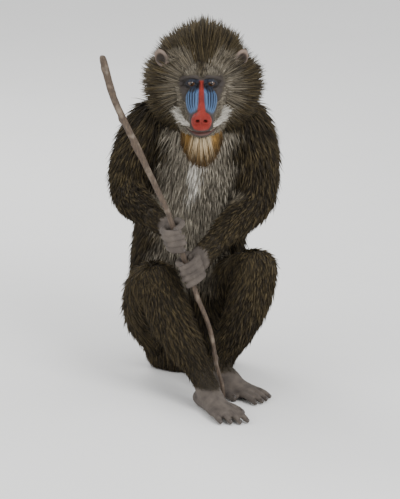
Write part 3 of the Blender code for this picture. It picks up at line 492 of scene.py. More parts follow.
points, normals = points_of(head), points_of(head, "normal")
own = points - EYES
x, y, z = own.T
wave, ribbed = rib_wave(own)
move = -0.003 * ribbed * (1 - wave)
level, _ = mouth_level(own)
lips = (y < 0.0) & (z < -0.045)
move -= 0.005 * bump(level, 0.003) * lips
move += 0.0014 * bump(np.abs(level) - 0.0062, 0.0042) * lips
ring = lid_ring(own)
seen = y < 0.012
upper = z > -0.004
# Height of each fold of the lids, its place and half width on their ring, and where it is
for height, at, half, where in (
    (0.0013, 1.0, 0.3, seen), (-0.0012, 1.42, 0.16, seen & upper), (0.0008, 1.62, 0.16, seen & (z > 0)),
    (-0.0008, 1.5, 0.14, seen & ~upper), (-0.0006, 1.95, 0.14, seen & ~upper),
):
    move += height * bump(ring - at, half) * where
frown = bump(x ** 2 / 0.00006, 1.0) * bump(z - 0.012, 0.01) * seen
move -= 0.001 * frown * (0.5 + 0.5 * np.cos(x * 2 * pi / 0.0048))
snout = y < -0.104
hole = nostril_ring(own)
move -= 0.0068 * bump(hole, 1.0) * snout
move += 0.0017 * bump(hole - 1.3, 0.5) * snout
move -= 0.0016 * bump(x, 0.0022) * bump(z + 0.064, 0.02) * snout
pad_edge = far((own - NOSE_PAD) / (1.0, 0.8, 1.0))
move -= 0.0016 * bump(pad_edge - 0.0262, 0.0028) * (y < -0.085) * (z > -0.083)
points = points + normals * move[:, None]
drawn_in = bump(ring - 0.95, 0.6) * seen
points[:, 2] -= 0.0034 * drawn_in * (z > 0.001)
points[:, 2] += 0.0012 * drawn_in * (z < -0.001)
for side in (-1, 1):
    points = hugged(points, EYES + np.array((side * SPREAD, 0, 0)), EYE_RADIUS + 0.0004)
moved(head, points)

skin = body
for part in (hands, feet, head, ears):
    applied(skin, "BOOLEAN", object=part, operation="UNION", solver="MANIFOLD")
    bpy.data.objects.remove(part, do_unlink=True)
skin.name = "skin"
skin.data.name = "skin"
skin.data.materials.clear()

# At the wrists and ankles the limbs run into the hands and feet without a step
JOINTS = (RIGHT_FOREARM[3], LEFT_FOREARM[3], *RIGHT_SHIN[3:5], *LEFT_SHIN[3:5])
points = points_of(skin)
joints = skin.vertex_groups.new(name="joints")
nearest = np.min([far(points - (row[:3] + PLACE)) for row in JOINTS], axis=0)
weights = step(0.046, 0.026, nearest)
for k in np.nonzero(weights > 0.02)[0]:
    joints.add([int(k)], float(weights[k]), "REPLACE")
applied(skin, "SMOOTH", factor=0.5, iterations=24, vertex_group="joints")
skin.vertex_groups.clear()
alone(skin)
bpy.ops.object.shade_smooth()
edited(skin, bpy.ops.uv.smart_project, angle_limit=radians(70), island_margin=0.002)


def beside(*columns):
    """Columns, each of many numbers or of one, set side by side."""
    return np.stack(np.broadcast_arrays(*columns), axis=1)


def from_trunk(points):
    """How far each point is to the side of the trunk's middle line and behind it."""
    rows = TRUNK[::-1, :3] + PLACE
    return (points[:, k] - np.interp(points[:, 2], rows[:, 2], rows[:, k]) for k in (0, 1))


def coat_marks(points):
    """The markings that skin and coat share: pale hair, warm hair, bare hide and the breast's streak."""
    x, y = from_trunk(points)
    z = points[:, 2]
    rag = 0.01 * np.sin(z * 90) + 0.008 * np.sin(z * 41 + 2) + 0.006 * np.sin(z * 173 + 1)
    width = np.interp(z, (0.2, 0.3, 0.42, 0.52, 0.585, 0.64), (0.05, 0.066, 0.082, 0.08, 0.06, 0.035))
    pale = step(0.022, -0.022, np.abs(x) - width - rag) * step(-0.02, -0.06, y) * step(-0.165, -0.135, y)
    pale = pale * step(0.2, 0.27, z) * step(0.67, 0.62, z)
    half = np.interp(z, (0.44, 0.5, 0.575), (0.001, 0.006, 0.011))
    streak = step(0.012, 0.002, np.abs(x + 0.004 + 0.4 * rag) - half)
    streak = streak * step(0.42, 0.46, z) * step(0.61, 0.58, z) * pale
    hide = np.ones(len(points))
    for middle, *_ in GRIPS:
        gap = far(points - (np.array(middle) + PLACE))
        hide = np.minimum(hide, step(0.05, 0.078, gap))
    hide = np.minimum(hide, step(0.03, 0.056, z + rag * 0.5))
    near = np.nonzero(hide < 1)[0]
    gaps = [min(tree.find_nearest(Vector(p))[3] for tree in BARE_TREES) for p in points[near]]
    hide[near] = np.maximum(hide[near], step(0.003, 0.01, np.array(gaps)))
    warm = 0.5 + 0.5 * np.sin(points[:, 0] * 23 + 1) * np.sin(points[:, 1] * 19 + 2) * np.sin(z * 17)
    return beside(pale, warm * 0.45 + 0.55 * step(-0.04, 0.1, y), 1 - hide, streak)


def heart_half(z):
    """Half the width of the bare heart of the face at a height."""
    heights = (-0.085, -0.07, -0.05, -0.03, -0.01, 0.004, 0.014, 0.0205)
    return np.interp(z, heights, (0.021, 0.026, 0.032, 0.042, 0.049, 0.05, 0.042, 0.02))


def naked_face(own):
    """1 on the bare heart of the face: wide at the eyes, notched over the nose and narrow at the mouth."""
    x, z = np.abs(own[:, 0]), own[:, 2]
    rag = 0.0016 * np.sin(z * 420) + 0.0012 * np.sin(own[:, 1] * 510)
    heart = step(0.003, -0.003, x - heart_half(z) + rag) * step(0.0225, 0.0185, z + rag)
    notch = bump(x, 0.012) * step(0.009, 0.014, z)
    return heart * step(0.03, 0.014, own[:, 1]) * step(-0.1, -0.096, z) * (1 - notch)


def face_pale(own):
    """How pale the short fur of the face is: palest in a ring round the heart, dark over the nose."""
    x, z = np.abs(own[:, 0]), own[:, 2]
    from_edge = np.minimum(np.abs(x - heart_half(z)), np.abs(z - 0.02) + 10 * (z < 0.01))
    under_lip = step(-0.004, -0.02, mouth_level(own)[0]) * (own[:, 1] < 0.01)
    pale = np.clip(0.36 + 0.5 * step(0.034, 0.006, from_edge) + 0.3 * under_lip, 0, 0.95)
    return pale * (1 - 0.9 * bump(x, 0.016) * step(0.004, 0.02, z))


def face_marks(points):
    """The face's colours: the red strip and pad of the nose, the blue cheeks, painted shade in their grooves,
    bare skin.
    """
    own = points - EYES
    close = far(own - FACE_MIDDLE) < 0.15
    values = np.zeros((len(own), 4))
    own = own[close]
    x, y, z = own.T
    gap = along_line(own, NOSE_LINE)[1]
    width = np.interp(y, (-0.105, -0.07, -0.02), (0.0098, 0.0062, 0.0055))
    strip = step(0.0012, -0.0012, np.abs(x) - width) * step(0.01, 0.005, z) * (gap < 0.016)
    strip = strip * (y < 0.004)
    pad = step(0.0262, 0.0232, from_nose_pad(own)) * step(-0.084, -0.079, z) * (y < -0.088)
    wave, ribbed = rib_wave(own)
    blue = step(0.1, 0.45, ribbed)
    # The third value is painted shade: it marks the grooves between the ribs, where the blue is darkened
    values[close] = beside(np.maximum(strip, pad), blue, ribbed * (1 - wave), naked_face(own))
    return values


def small_marks(points):
    """The ears, the lips, the dark rims of the eyes, and painted shade in the hollows of ears and nostrils.
    """
    own = points - EYES
    x, y, _ = own.T
    gap = from_ear(own)
    ear = step(0.033, 0.026, gap) * (np.abs(x) > 0.07)
    lips = step(0.008, 0.0055, mouth_level(own)[1]) * (y < -0.01)
    rim = step(1.65, 1.25, lid_ring(own)) * (y < 0.012)
    # Painted shade: this marks the cup of each ear and the inside of each nostril, to be darkened where shade
    # falls in them
    hollow_shade = step(0.0175, 0.01, gap) * (y < EAR_MIDDLE[1] + 0.004)
    hollow_shade = np.maximum(hollow_shade * ear, step(0.85, 0.55, nostril_ring(own)) * (y < -0.1))
    return beside(ear, lips, rim, hollow_shade)


def painted(thing, name, values):
    """Values are kept on a mesh's points as a colour attribute."""
    made = thing.data.color_attributes.new(name, "FLOAT_COLOR", "POINT")
    made.data.foreach_set("color", np.asarray(values, np.float32).ravel())


points = points_of(skin)
marks = coat_marks(points)
own = points - EYES
furred = (far(own - FACE_MIDDLE) < 0.125) & (own[:, 1] < 0.05)
marks[furred, 0] = face_pale(own[furred]) * 0.15
painted(skin, "marks", marks)
painted(skin, "face", face_marks(points))
painted(skin, "small", small_marks(points))


class Wire:
    """A socket of a material's nodes. Sums on it add the nodes that work them out."""

    def __init__(self, tree, socket=None):
        self.tree = tree
        self.socket = socket

    def node(self, kind, settings, sockets, out=0):
        """A node of any kind: its settings first, then the values or links of its sockets."""
        made = self.tree.nodes.new(kind)
        for key, value in settings.items():
            setattr(made, key, value)
        filled(made, sockets)
        return Wire(self.tree, made.outputs[out])

    def sum(self, operation, a, b=0.0, limit=False):
        return self.node("ShaderNodeMath", {"operation": operation, "use_clamp": limit}, {0: a, 1: b})

    def __add__(self, other):
        return self.sum("ADD", self, other)

    def __sub__(self, other):
        return self.sum("SUBTRACT", self, other)

    def __rsub__(self, other):
        return self.sum("SUBTRACT", other, self)

    def __mul__(self, other):
        return self.sum("MULTIPLY", self, other)

    __radd__ = __add__
    __rmul__ = __mul__

    def clipped(self):
        return self.sum("ADD", self, 0.0, True)

    def blend(self, a, b):
        """Colour a where this is 0 and colour b where it is 1."""
        return self.node("ShaderNodeMix", {"data_type": "RGBA"}, {0: self, 6: a, 7: b}, 2)


def filled(made, sockets):
    """A node's sockets are linked to wires or set to constants."""
    for key, value in sockets.items():
        if isinstance(value, Wire):
            value.tree.links.new(value.socket, made.inputs[key])
        else:
            made.inputs[key].default_value = value


def finish_of(name):
    """A new material, a first wire into its nodes, and its shader."""
    made = bpy.data.materials.new(name)
    made.use_nodes = True
    return made, Wire(made.node_tree), made.node_tree.nodes["Principled BSDF"]


def place_in(start):
    """The place of each point in the whole model's own axes."""
    return start.node("ShaderNodeTexCoord", {}, {}, 3)


def noise(place, scale, detail):
    return place.node("ShaderNodeTexNoise", {}, {"Vector": place, "Scale": scale, "Detail": detail})


def relief(height, strength, distance):
    return height.node("ShaderNodeBump", {}, {"Height": height, "Strength": strength, "Distance": distance})


def parts_of(start, name):
    """The four values of a painted attribute."""
    tree = start.tree
    made = tree.nodes.new("ShaderNodeAttribute")
    made.attribute_name = name
    split = tree.nodes.new("ShaderNodeSeparateColor")
    tree.links.new(made.outputs["Color"], split.inputs[0])
    return [Wire(tree, split.outputs[k]) for k in range(3)] + [Wire(tree, made.outputs["Alpha"])]


DARK_HAIR = (0.026, 0.021, 0.015, 1)
OLIVE_HAIR = (0.16, 0.12, 0.058, 1)
PALE_HAIR = (0.42, 0.375, 0.3, 1)
WHITE_HAIR = (0.82, 0.78, 0.7, 1)
HIDE = (0.052, 0.043, 0.038, 1)
HIDE_LIGHT = (0.15, 0.125, 0.105, 1)
EAR_SKIN = (0.24, 0.17, 0.135, 1)
BLUE = (0.085, 0.155, 0.285, 1)
BLUE_DEEP = (0.014, 0.018, 0.034, 1)
RED = (0.32, 0.032, 0.02, 1)
RED_DEEP = (0.15, 0.016, 0.012, 1)
LIP_SKIN = (0.11, 0.052, 0.045, 1)
FACE_DARK = (0.034, 0.027, 0.024, 1)
NEAR_BLACK = (0.01, 0.008, 0.007, 1)

hide_finish, start, shader = finish_of("hide")
place = place_in(start)
pale, warm, bare, streak = parts_of(start, "marks")
red, blue, groove_shade, face_bare = parts_of(start, "face")
ear, lips, rim, hollow_shade = parts_of(start, "small")
grain, blotch = noise(place, 420.0, 3.0), noise(place, 46.0, 4.0)
pores = start.node("ShaderNodeTexVoronoi", {}, {"Vector": place, "Scale": 620.0})
creases = start.node(
    "ShaderNodeTexVoronoi", {"feature": "DISTANCE_TO_EDGE"}, {"Vector": place, "Scale": 380.0},
)
under = (warm * blotch * 0.35).blend(DARK_HAIR, OLIVE_HAIR)
under = (pale * (grain * 0.5 + 0.25)).blend(under, PALE_HAIR)
under = streak.blend(under, WHITE_HAIR)
leather = (blotch * 1.5 - 0.35).clipped().blend(HIDE, HIDE_LIGHT)
leather = ear.blend(leather, (blotch * 1.3 - 0.2).clipped().blend(HIDE_LIGHT, EAR_SKIN))
face_tone = (blotch * 1.4 - 0.3).clipped().blend(FACE_DARK, HIDE)
# Painted shade: the blue of the cheeks is darkened in the grooves between the ribs
face_tone = blue.blend(face_tone, (1 - groove_shade * 1.6).clipped().blend(BLUE_DEEP, BLUE))
face_tone = (lips * (1 - red)).blend(face_tone, LIP_SKIN)
face_tone = red.blend(face_tone, (blotch * 1.5 + grain * 0.5 - 0.6).clipped().blend(RED_DEEP, RED))
face_tone = (rim * 0.8).blend(face_tone, NEAR_BLACK)
naked = (face_bare + blue + red + lips).clipped()
bare_hide = ((bare + ear) * 5.0 - 2.2).clipped()
tone = naked.blend(bare_hide.blend(under, leather), face_tone)
# Painted shade: the hollows of the ears and nostrils are darkened nearly to black
tone = (hollow_shade * 0.85).blend(tone, NEAR_BLACK)
# Painted shade: the bare skin is darkened along the lines of its creases
tone = ((0.1 - creases) * (naked + bare_hide) * 1.2).clipped().blend(tone, NEAR_BLACK)
height = grain * 0.45 + pores * 0.25 + blotch * 0.5 + (creases * 5.0).clipped() * 0.2
filled(shader, {
    "Base Color": tone, "Roughness": 0.72 - naked * 0.24 + grain * 0.12,
    "Normal": relief(height, 0.4, 0.0012), "Specular IOR Level": 0.2,
})
skin.data.materials.append(hide_finish)
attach(skin, "root")
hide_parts(*FLESH, *HANDS_AND_FEET, "head", "ear_right", "ear_left")


# The eyes: glossy balls with an amber iris round a dark pupil, set deep between the lids.

# How far from the eye's axis the iris and the pupil reach, and how far the clear front bulges
IRIS_RADIUS = 0.0056
PUPIL_RADIUS = 0.0029
FRONT_BULGE = 0.0007
AMBER_DARK = (0.024, 0.01, 0.004, 1)
AMBER = (0.11, 0.046, 0.013, 1)
EYE_WHITE_DARK = (0.06, 0.04, 0.03, 1)
EYE_WHITE = (0.12, 0.085, 0.07, 1)
PUPIL_BLACK = (0.003, 0.003, 0.003, 1)

for side, node in ((-1, "eye_right"), (1, "eye_left")):
    middle = EYES + np.array((side * SPREAD, 0, 0))
    alone(skin)
    eye = egg(node + "_ball", middle, (EYE_RADIUS,) * 3, 40, 64)
    shape = points_of(eye)
    away = shape - middle
    shape[:, 1] -= FRONT_BULGE * bump(np.hypot(away[:, 0], away[:, 2]), 0.0062) * (away[:, 1] < 0)
    moved(eye, shape)
    bpy.ops.object.shade_smooth()
    finish, start, shader = finish_of(node + "_gloss")
    place = place_in(start)
    centred = start.node("ShaderNodeVectorMath", {"operation": "SUBTRACT"}, {0: place, 1: tuple(middle)})
    flat = start.node("ShaderNodeVectorMath", {"operation": "MULTIPLY"}, {0: centred, 1: (1, 0, 1)})
    out = start.node("ShaderNodeVectorMath", {"operation": "LENGTH"}, {0: flat}, 1)
    fleck = noise(place, 900.0, 2.0)
    pupil = (1 - (out - PUPIL_RADIUS) * 2500.0).clipped()
    iris = (1 - (out - IRIS_RADIUS) * 1400.0).clipped()
    amber = (fleck * 1.6 - 0.3).clipped().blend(AMBER_DARK, AMBER)
    white = fleck.blend(EYE_WHITE_DARK, EYE_WHITE)
    filled(shader, {
        "Base Color": pupil.blend(iris.blend(white, amber), PUPIL_BLACK),
        "Roughness": 0.1, "Coat Weight": 0.35, "Coat Roughness": 0.03,
    })
    eye.data.materials.append(finish)
    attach(eye, "root")
    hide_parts(node)


# The short coat: flat tapered tufts of hair, rooted in the hide and combed along the body.
# They are longest on the shoulders and flanks and die away on the hands, feet and face.

draw = np.random.default_rng(7)
# How deep a tuft's root is set, as a share of its length, and the least height over the floor
ROOT_DEPTH = 0.05
FLOOR_GAP = 0.0008
# The side of a tuft's own patch on the sheet that the colours are baked on
BAKE_PATCH = 0.003


def tuft_points(bed, sways, spans, thick):
    """The points of every tuft: three-sided, flat, bent over and tapered to one point at its tip."""
    roots, normals, lies, lengths, widths, lifts, bends = bed[:7]
    shares = np.linspace(0, 1, spans + 1)
    swell = np.interp(shares, (0, 0.35, 0.75, 1), (0.86, 1.0, 0.58, 0.0))
    side = unit(np.cross(lies, normals))
    at = roots - normals * (lengths * ROOT_DEPTH)[:, None]
    columns = []
    for i, share in enumerate(shares):
        angle = lifts * (1 - bends * share)
        heading = lies * np.cos(angle)[:, None] + normals * np.sin(angle)[:, None]
        heading = unit(heading + side * (sways * share)[:, None])
        if i:
            at = at + heading * (lengths / spans)[:, None]
        if i < spans:
            across = unit(np.cross(heading, normals))
            outward = unit(np.cross(across, heading))
            half = (widths * 0.5 * swell[i])[:, None]
            low = at - outward * half * thick
            columns += [low - across * half, at + outward * half * thick * 1.6, low + across * half]
    verts = np.stack([*columns, at], axis=1)
    verts[:, :, 2] = np.maximum(verts[:, :, 2], FLOOR_GAP)
    return verts


def grown(name, bed, sway, finish, nodes=(), spans=3, thick=0.28):
    """One piece of coat from its bed and its material, and the solids that it replaces.

    A bed has one row to a tuft in each of its columns: root, normal, lie, length, width, lift, bend,
    marks and place on the skin's unwrap. Each tuft is closed at its root.
    """
    lengths, marks, uvs = bed[3], bed[7], bed[8]
    count = len(lengths)
    verts = tuft_points(bed, draw.normal(0, sway, count), spans, thick)
    per = spans * 3 + 1
    faces = [(2, 1, 0)]
    for j, k in ((0, 1), (1, 2), (2, 0)):
        for i in range(0, per - 4, 3):
            faces += [(i + j, i + k, i + 3 + k), (i + j, i + 3 + k, i + 3 + j)]
        faces.append((per - 4 + j, per - 4 + k, per - 1))
    corners = (np.array(faces)[None] + (np.arange(count) * per)[:, None, None]).reshape(-1)
    mesh = bpy.data.meshes.new(name)
    mesh.vertices.add(count * per)
    mesh.vertices.foreach_set("co", verts.reshape(-1))
    mesh.loops.add(len(corners))
    mesh.loops.foreach_set("vertex_index", corners.astype(np.int32))
    mesh.polygons.add(len(corners) // 3)
    mesh.polygons.foreach_set("loop_start", np.arange(0, len(corners), 3, dtype=np.int32))
    mesh.update(calc_edges=True)
    coat = bpy.data.objects.new(name, mesh)
    bpy.context.scene.collection.objects.link(coat)
    mesh.shade_smooth()
    along = np.append(np.repeat(np.linspace(0, 1, spans + 1)[:-1], 3), 1.0)
    across = np.append(np.tile((0.0, 0.5, 1.0), spans), 0.5)
    strand = np.zeros((count, per, 4))
    strand[:, :, 0] = along
    strand[:, :, 1] = lengths[:, None] * 10
    strand[:, :, 2] = draw.random(count)[:, None]
    strand[:, :, 3] = across
    painted(coat, "marks", np.repeat(marks, per, axis=0))
    painted(coat, "strand", strand.reshape(-1, 4))
    patch = beside(across - 0.5, along - 0.5) * BAKE_PATCH
    spot = np.clip(uvs[:, None, :] + patch[None], 0.001, 0.999)
    sheet = mesh.uv_layers.new(name="OFBake")
    sheet.data.foreach_set("uv", spot.reshape(-1, 2)[corners].reshape(-1).astype(np.float32))
    coat.data.materials.append(finish)
    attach(coat, "root")
    if nodes:
        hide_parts(*nodes)


def combed(ways, normals, wild):
    """Ways laid along the skin, each turned a little at random."""
    ways = laid(ways, normals)
    return unit(ways + wild * draw.standard_normal(ways.shape))


def angles(low, high, count):
    """Random angles between two that are given in degrees."""
    return draw.uniform(*np.radians((low, high)), count)


def kept(keep, *columns):
    """The wanted rows of each column."""
    return [column[keep] for column in columns]


def skin_table():
    """The skin's triangles, their corners and the corners' places on the skin's own unwrap."""
    mesh = skin.data
    mesh.calc_loop_triangles()
    tris, loops = (np.empty(len(mesh.loop_triangles) * 3, np.int32) for _ in range(2))
    mesh.loop_triangles.foreach_get("vertices", tris)
    mesh.loop_triangles.foreach_get("loops", loops)
    uv = np.empty(len(mesh.loops) * 2, np.float32)
    mesh.uv_layers.active.data.foreach_get("uv", uv)
    return tris.reshape(-1, 3), loops.reshape(-1, 3), uv.reshape(-1, 2)


SKIN_POINTS, SKIN_NORMALS = points_of(skin), points_of(skin, "normal")
SKIN_TRIS, SKIN_LOOPS, SKIN_UV = skin_table()
SKIN_TREE = BVHTree.FromPolygons([tuple(p) for p in SKIN_POINTS], [tuple(t) for t in SKIN_TRIS])


def unwrapped(places):
    """Where the skin nearest to each place lies on the skin's own unwrap."""
    nearest = [SKIN_TREE.find_nearest(Vector(p))[2] for p in places]
    return SKIN_UV[SKIN_LOOPS[nearest]].mean(axis=1)


def scattered(spacing, wanted):
    """Roots spread evenly over the wanted part of the skin: places, normals and unwrapped places."""
    middles = SKIN_POINTS[SKIN_TRIS].mean(axis=1)
    chosen = np.nonzero(wanted(middles))[0]
    a, b, c = (SKIN_POINTS[SKIN_TRIS[chosen, k]] for k in range(3))
    area = far(np.cross(b - a, c - a)) / 2
    many = int(area.sum() / spacing ** 2 * 3.0)
    face = chosen[draw.choice(len(area), many, p=area / area.sum())]
    r, s = draw.random(many), draw.random(many)
    over = r + s > 1
    r[over], s[over] = 1 - r[over], 1 - s[over]
    share = np.stack([1 - r - s, r, s], axis=1)[:, :, None]
    spots = (SKIN_POINTS[SKIN_TRIS[face]] * share).sum(axis=1)
    normals = unit((SKIN_NORMALS[SKIN_TRIS[face]] * share).sum(axis=1))
    uvs = (SKIN_UV[SKIN_LOOPS[face]] * share).sum(axis=1)
    cell = np.floor(spots / spacing).astype(np.int64)
    key = cell[:, 0] * 1000003 + cell[:, 1] * 10007 + cell[:, 2]
    _, first = np.unique(key, return_index=True)
    return spots[first], normals[first], uvs[first]


def hugging(roots, normals, lies, lengths, lifts, clear):
    """The bend that brings each tuft's tip near the skin again: how near is a share of its length."""
    tips = roots + lies * lengths[:, None]
    ground = np.array([tuple(SKIN_TREE.find_nearest(Vector(p))[0]) for p in tips])
    rise = ((ground - roots) * normals).sum(axis=1) / lengths + draw.uniform(*clear, len(roots))
    return np.clip(2 - 2 * np.arcsin(np.clip(rise, -0.9, 0.7)) / lifts, -0.3, 6.0)


def hair_of(name):
    """A hair material but for its colour: marks and strand as painted, and fine threads along it."""
    finish, start, shader = finish_of(name)
    pale, warm, _, streak = parts_of(start, "marks")
    along, _, chance, across = parts_of(start, "strand")
    ends = {0: across * 5.0 + chance * 37.0, 1: along * 2.0, 2: chance * 11.0}
    threads = noise(start.node("ShaderNodeCombineXYZ", {}, ends), 1.0, 3.0)
    filled(shader, {"Normal": relief(threads, 0.5, 0.0008), "Roughness": 0.72, "Specular IOR Level": 0.1})
    return finish, shader, pale, warm, streak, along, chance, threads


hair_finish, shader, pale, warm, streak, along, chance, threads = hair_of("body_hair")
ticked = (warm * 0.7 + chance * 0.85 + threads * 0.5 - 0.66).clipped() * (along * 0.9 + 0.25).clipped()
tone = ticked.blend(DARK_HAIR, OLIVE_HAIR)
light = (pale * (chance * 0.6 + threads * 0.5 + 0.25)).clipped() * (along * 0.7 + 0.45).clipped()
tone = light.blend(tone, PALE_HAIR)
tone = (streak * (along * 0.5 + 0.7)).clipped().blend(tone, WHITE_HAIR)
filled(shader, {"Base Color": ((0.5 - threads) * 3.0).clipped().blend(tone, DARK_HAIR)})

COAT_SPACING = 0.004
COAT_WILD = 0.09
# How near the skin the tips of the short coat come again, as shares of their length
COAT_CLEAR = (0.14, 0.36)


def mantle_share(points):
    """1 where the long coat of the nape and shoulders grows, fading to 0 down the back and to the front."""
    return step(0.44, 0.52, points[:, 2]) * step(0.02, 0.055, points[:, 1] - PLACE[1])


def off_hood(places):
    return far((places - HOOD) / (HOOD_RADII + 0.003)) > 1.0


spots, normals, uvs = scattered(COAT_SPACING, off_hood)
lies, lengths = lie_and_length(spots, normals)
own = spots - EYES
_, y, z = own.T
on_face = (far(own - np.array((0, -0.03, -0.04))) < 0.105) & (y < 0.05) & (z > -0.112)
on_face |= z > -0.03
on_face |= far((spots - BEARD) / (BEARD_RADII + 0.011)) < 1.0
under_mantle = mantle_share(spots) > draw.uniform(0.3, 0.9, len(spots))
marks = coat_marks(spots)
keep = ~on_face & ~under_mantle & (marks[:, 2] < 0.45 + 0.15 * draw.random(len(spots)))
keep &= (spots[:, 2] > 0.012) & ~((normals[:, 2] < -0.75) & (spots[:, 2] < 0.05))
spots, normals, uvs, lies, lengths, marks = kept(keep, spots, normals, uvs, lies, lengths, marks)
count = len(spots)
lies = combed(lies, normals, COAT_WILD)
lengths = lengths * draw.uniform(0.75, 1.15, count) * (1 - 0.6 * marks[:, 2])
for ankle in ANKLES:
    lengths *= 1 - 0.2 * step(0.09, 0.03, far(spots - PLACE - ankle))
widths = np.clip(lengths * 0.15, 0.0013, 0.0054) * draw.uniform(0.75, 1.2, count)
lifts = np.radians(draw.uniform(9, 21, count))
bends = hugging(spots, normals, lies, lengths, lifts, COAT_CLEAR)
by_floor = step(0.08, 0.02, spots[:, 2]) * (spots[:, 1] > PLACE[1] - 0.1)
lifts += radians(22) * by_floor
bends = bends * (1 - by_floor) + 0.2 * by_floor
bed = (spots, normals, lies, lengths, widths, lifts, bends, marks, uvs)
cuts = np.quantile(spots[:, 2], (0, 1 / 3, 2 / 3, 1))
for name, low, high in (("coat_lower", *cuts[:2]), ("coat_middle", *cuts[1:3]), ("coat_upper", *cuts[2:])):
    part = (spots[:, 2] > low) & (spots[:, 2] <= high)
    grown(name, kept(part, *bed), 0.1, hair_finish, spans=2, thick=0.3)


# The face's own short fur: a pale ring round the bare heart of the face, a dark point over the nose,
# and close hair on the sides of the muzzle and the chin. It lies back from the face and is
# shortest on the muzzle.

FUR_SPACING = 0.0018


def on_head(places):
    return far(places - EYES - FACE_MIDDLE) < 0.125


spots, normals, uvs = scattered(FUR_SPACING, on_head)
own = spots - EYES
_, y, z = own.T
level, gap = mouth_level(own)
keep = (y < 0.045) & (z > -0.12) & (naked_face(own) < 0.5)
keep &= ~((gap < 0.008) & (y < -0.01))
keep &= (from_nose_pad(own) > 0.0262) | (z < -0.084)
keep &= (from_ear(own) > 0.027) & (rib_wave(own)[1] < 0.2) & (normals[:, 2] > -0.75)
spots, normals, uvs, own, level = kept(keep, spots, normals, uvs, own, level)
x, y, z = own.T
count = len(spots)
side = np.sign(x)
top = step(0.004, 0.02, z)[:, None]
low = (step(-0.004, -0.02, level) * (y < 0.01))[:, None]
sideways = beside(side * 0.55, 0.9, -0.1)
upward = beside(x * 9, 0.55, 0.85)
downward = beside(side * 0.1, 0.35, -0.9)
lies = combed(sideways * (1 - top) * (1 - low) + upward * top + downward * low, normals, 0.1)
lengths = np.interp(y, (-0.11, -0.06, -0.01, 0.03), (0.0056, 0.0105, 0.018, 0.026))
lengths *= draw.uniform(0.7, 1.2, count)
widths = np.clip(lengths * 0.12, 0.0013, 0.0021)
marks = beside(face_pale(own) * draw.uniform(0.6, 1.0, count), 0.4, 0, 0)
lifts, bends = angles(8, 19, count), draw.uniform(0.3, 0.9, count)
bed = (spots, normals, lies, lengths, widths, lifts, bends, marks, uvs)
grown("face_fur", bed, 0.14, hair_finish, spans=2)


# The white whiskers: a fan of long stiff hair over each corner of the mouth. It starts thin on the
# upper lip and sweeps out and back over the cheek.

WHISKERS = 330
# Share of the way along the mouth, and there the whiskers' length
WHISKER_PLACE = (0.3, 0.5, 0.8, 0.95)
WHISKER_LENGTH = (0.012, 0.026, 0.04, 0.034)

share = draw.uniform(WHISKER_PLACE[0], WHISKER_PLACE[-1], 2 * WHISKERS)
side = np.repeat((-1.0, 1.0), WHISKERS)
roots = between(share * (len(MOUTH_LINE) - 1), range(len(MOUTH_LINE)), MOUTH_LINE)
roots[:, 0] += 0.01
roots[:, 2] += draw.uniform(0.0085, 0.0165, len(roots))
hits = [SKIN_TREE.find_nearest(Vector(EYES + p)) for p in roots * beside(side, 1, 1)]
roots = np.array([tuple(h[0]) for h in hits])
normals = unit(np.array([tuple(h[1]) for h in hits]))
clear = mouth_level(roots - EYES)[0] > 0.006
roots, normals, side, share = kept(clear, roots, normals, side, share)
count = len(roots)
lies = combed(beside(side * 0.8, 0.6, 0.1), normals, 0.11)
lengths = np.interp(share, WHISKER_PLACE, WHISKER_LENGTH) * draw.uniform(0.45, 1.1, count)
widths = draw.uniform(0.0009, 0.0016, count)
marks = beside(0.8, 0, 0, draw.uniform(0.3, 0.95, count))
lifts, bends = angles(12, 40, count), draw.uniform(0.3, 0.9, count)
bed = (roots, normals, lies, lengths, widths, lifts, bends, marks, unwrapped(roots))
grown("whiskers", bed, 0.16, hair_finish)


# The nails: dark, narrow and rounded, one at the tip of every finger and toe. Each is a
# squared dome of horn that is set in the skin and bent over the tip.

NAIL_SHAPE = (0.0054, 0.004)
TOE_LENGTHS = (0.054, 0.059, 0.055, 0.046)
# The heel, the way the foot points, and which side its big toe is on
SOLES = (((0.01, -0.283, 0), -62, 1), ((0.037, -0.14, 0), -50, -1))
HORN_DARK = (0.014, 0.011, 0.01, 1)
HORN = (0.085, 0.066, 0.054, 1)

nail_finish, start, shader = finish_of("nail")
streaks = noise(place_in(start), 500.0, 3.0)
filled(shader, {"Base Color": streaks.blend(HORN_DARK, HORN), "Roughness": 0.34})


def nail(middle, ahead, up, large=1.0):
    """One nail: a squared dome pulled out to its free edge and bent over the tip."""
    made = egg("nail", (0, 0, 0), (1, 1, 1), 10, 16)
    shape = points_of(made)
    shape[:, 0] = np.sign(shape[:, 0]) * np.abs(shape[:, 0]) ** 0.8
    long, wide = (v * large for v in NAIL_SHAPE)
    ahead = unit(ahead)
    up = unit(up - ahead * (up @ ahead))
    droop = -0.3 * shape[:, 1] ** 2 * wide - 0.3 * np.clip(shape[:, 0], 0, 1) ** 2 * wide
    out = middle + np.outer(shape[:, 0] * long, ahead) + np.outer(shape[:, 1] * wide, np.cross(ahead, up))
    moved(made, out + np.outer(shape[:, 2] * wide * 0.36 + droop, up))
    return made


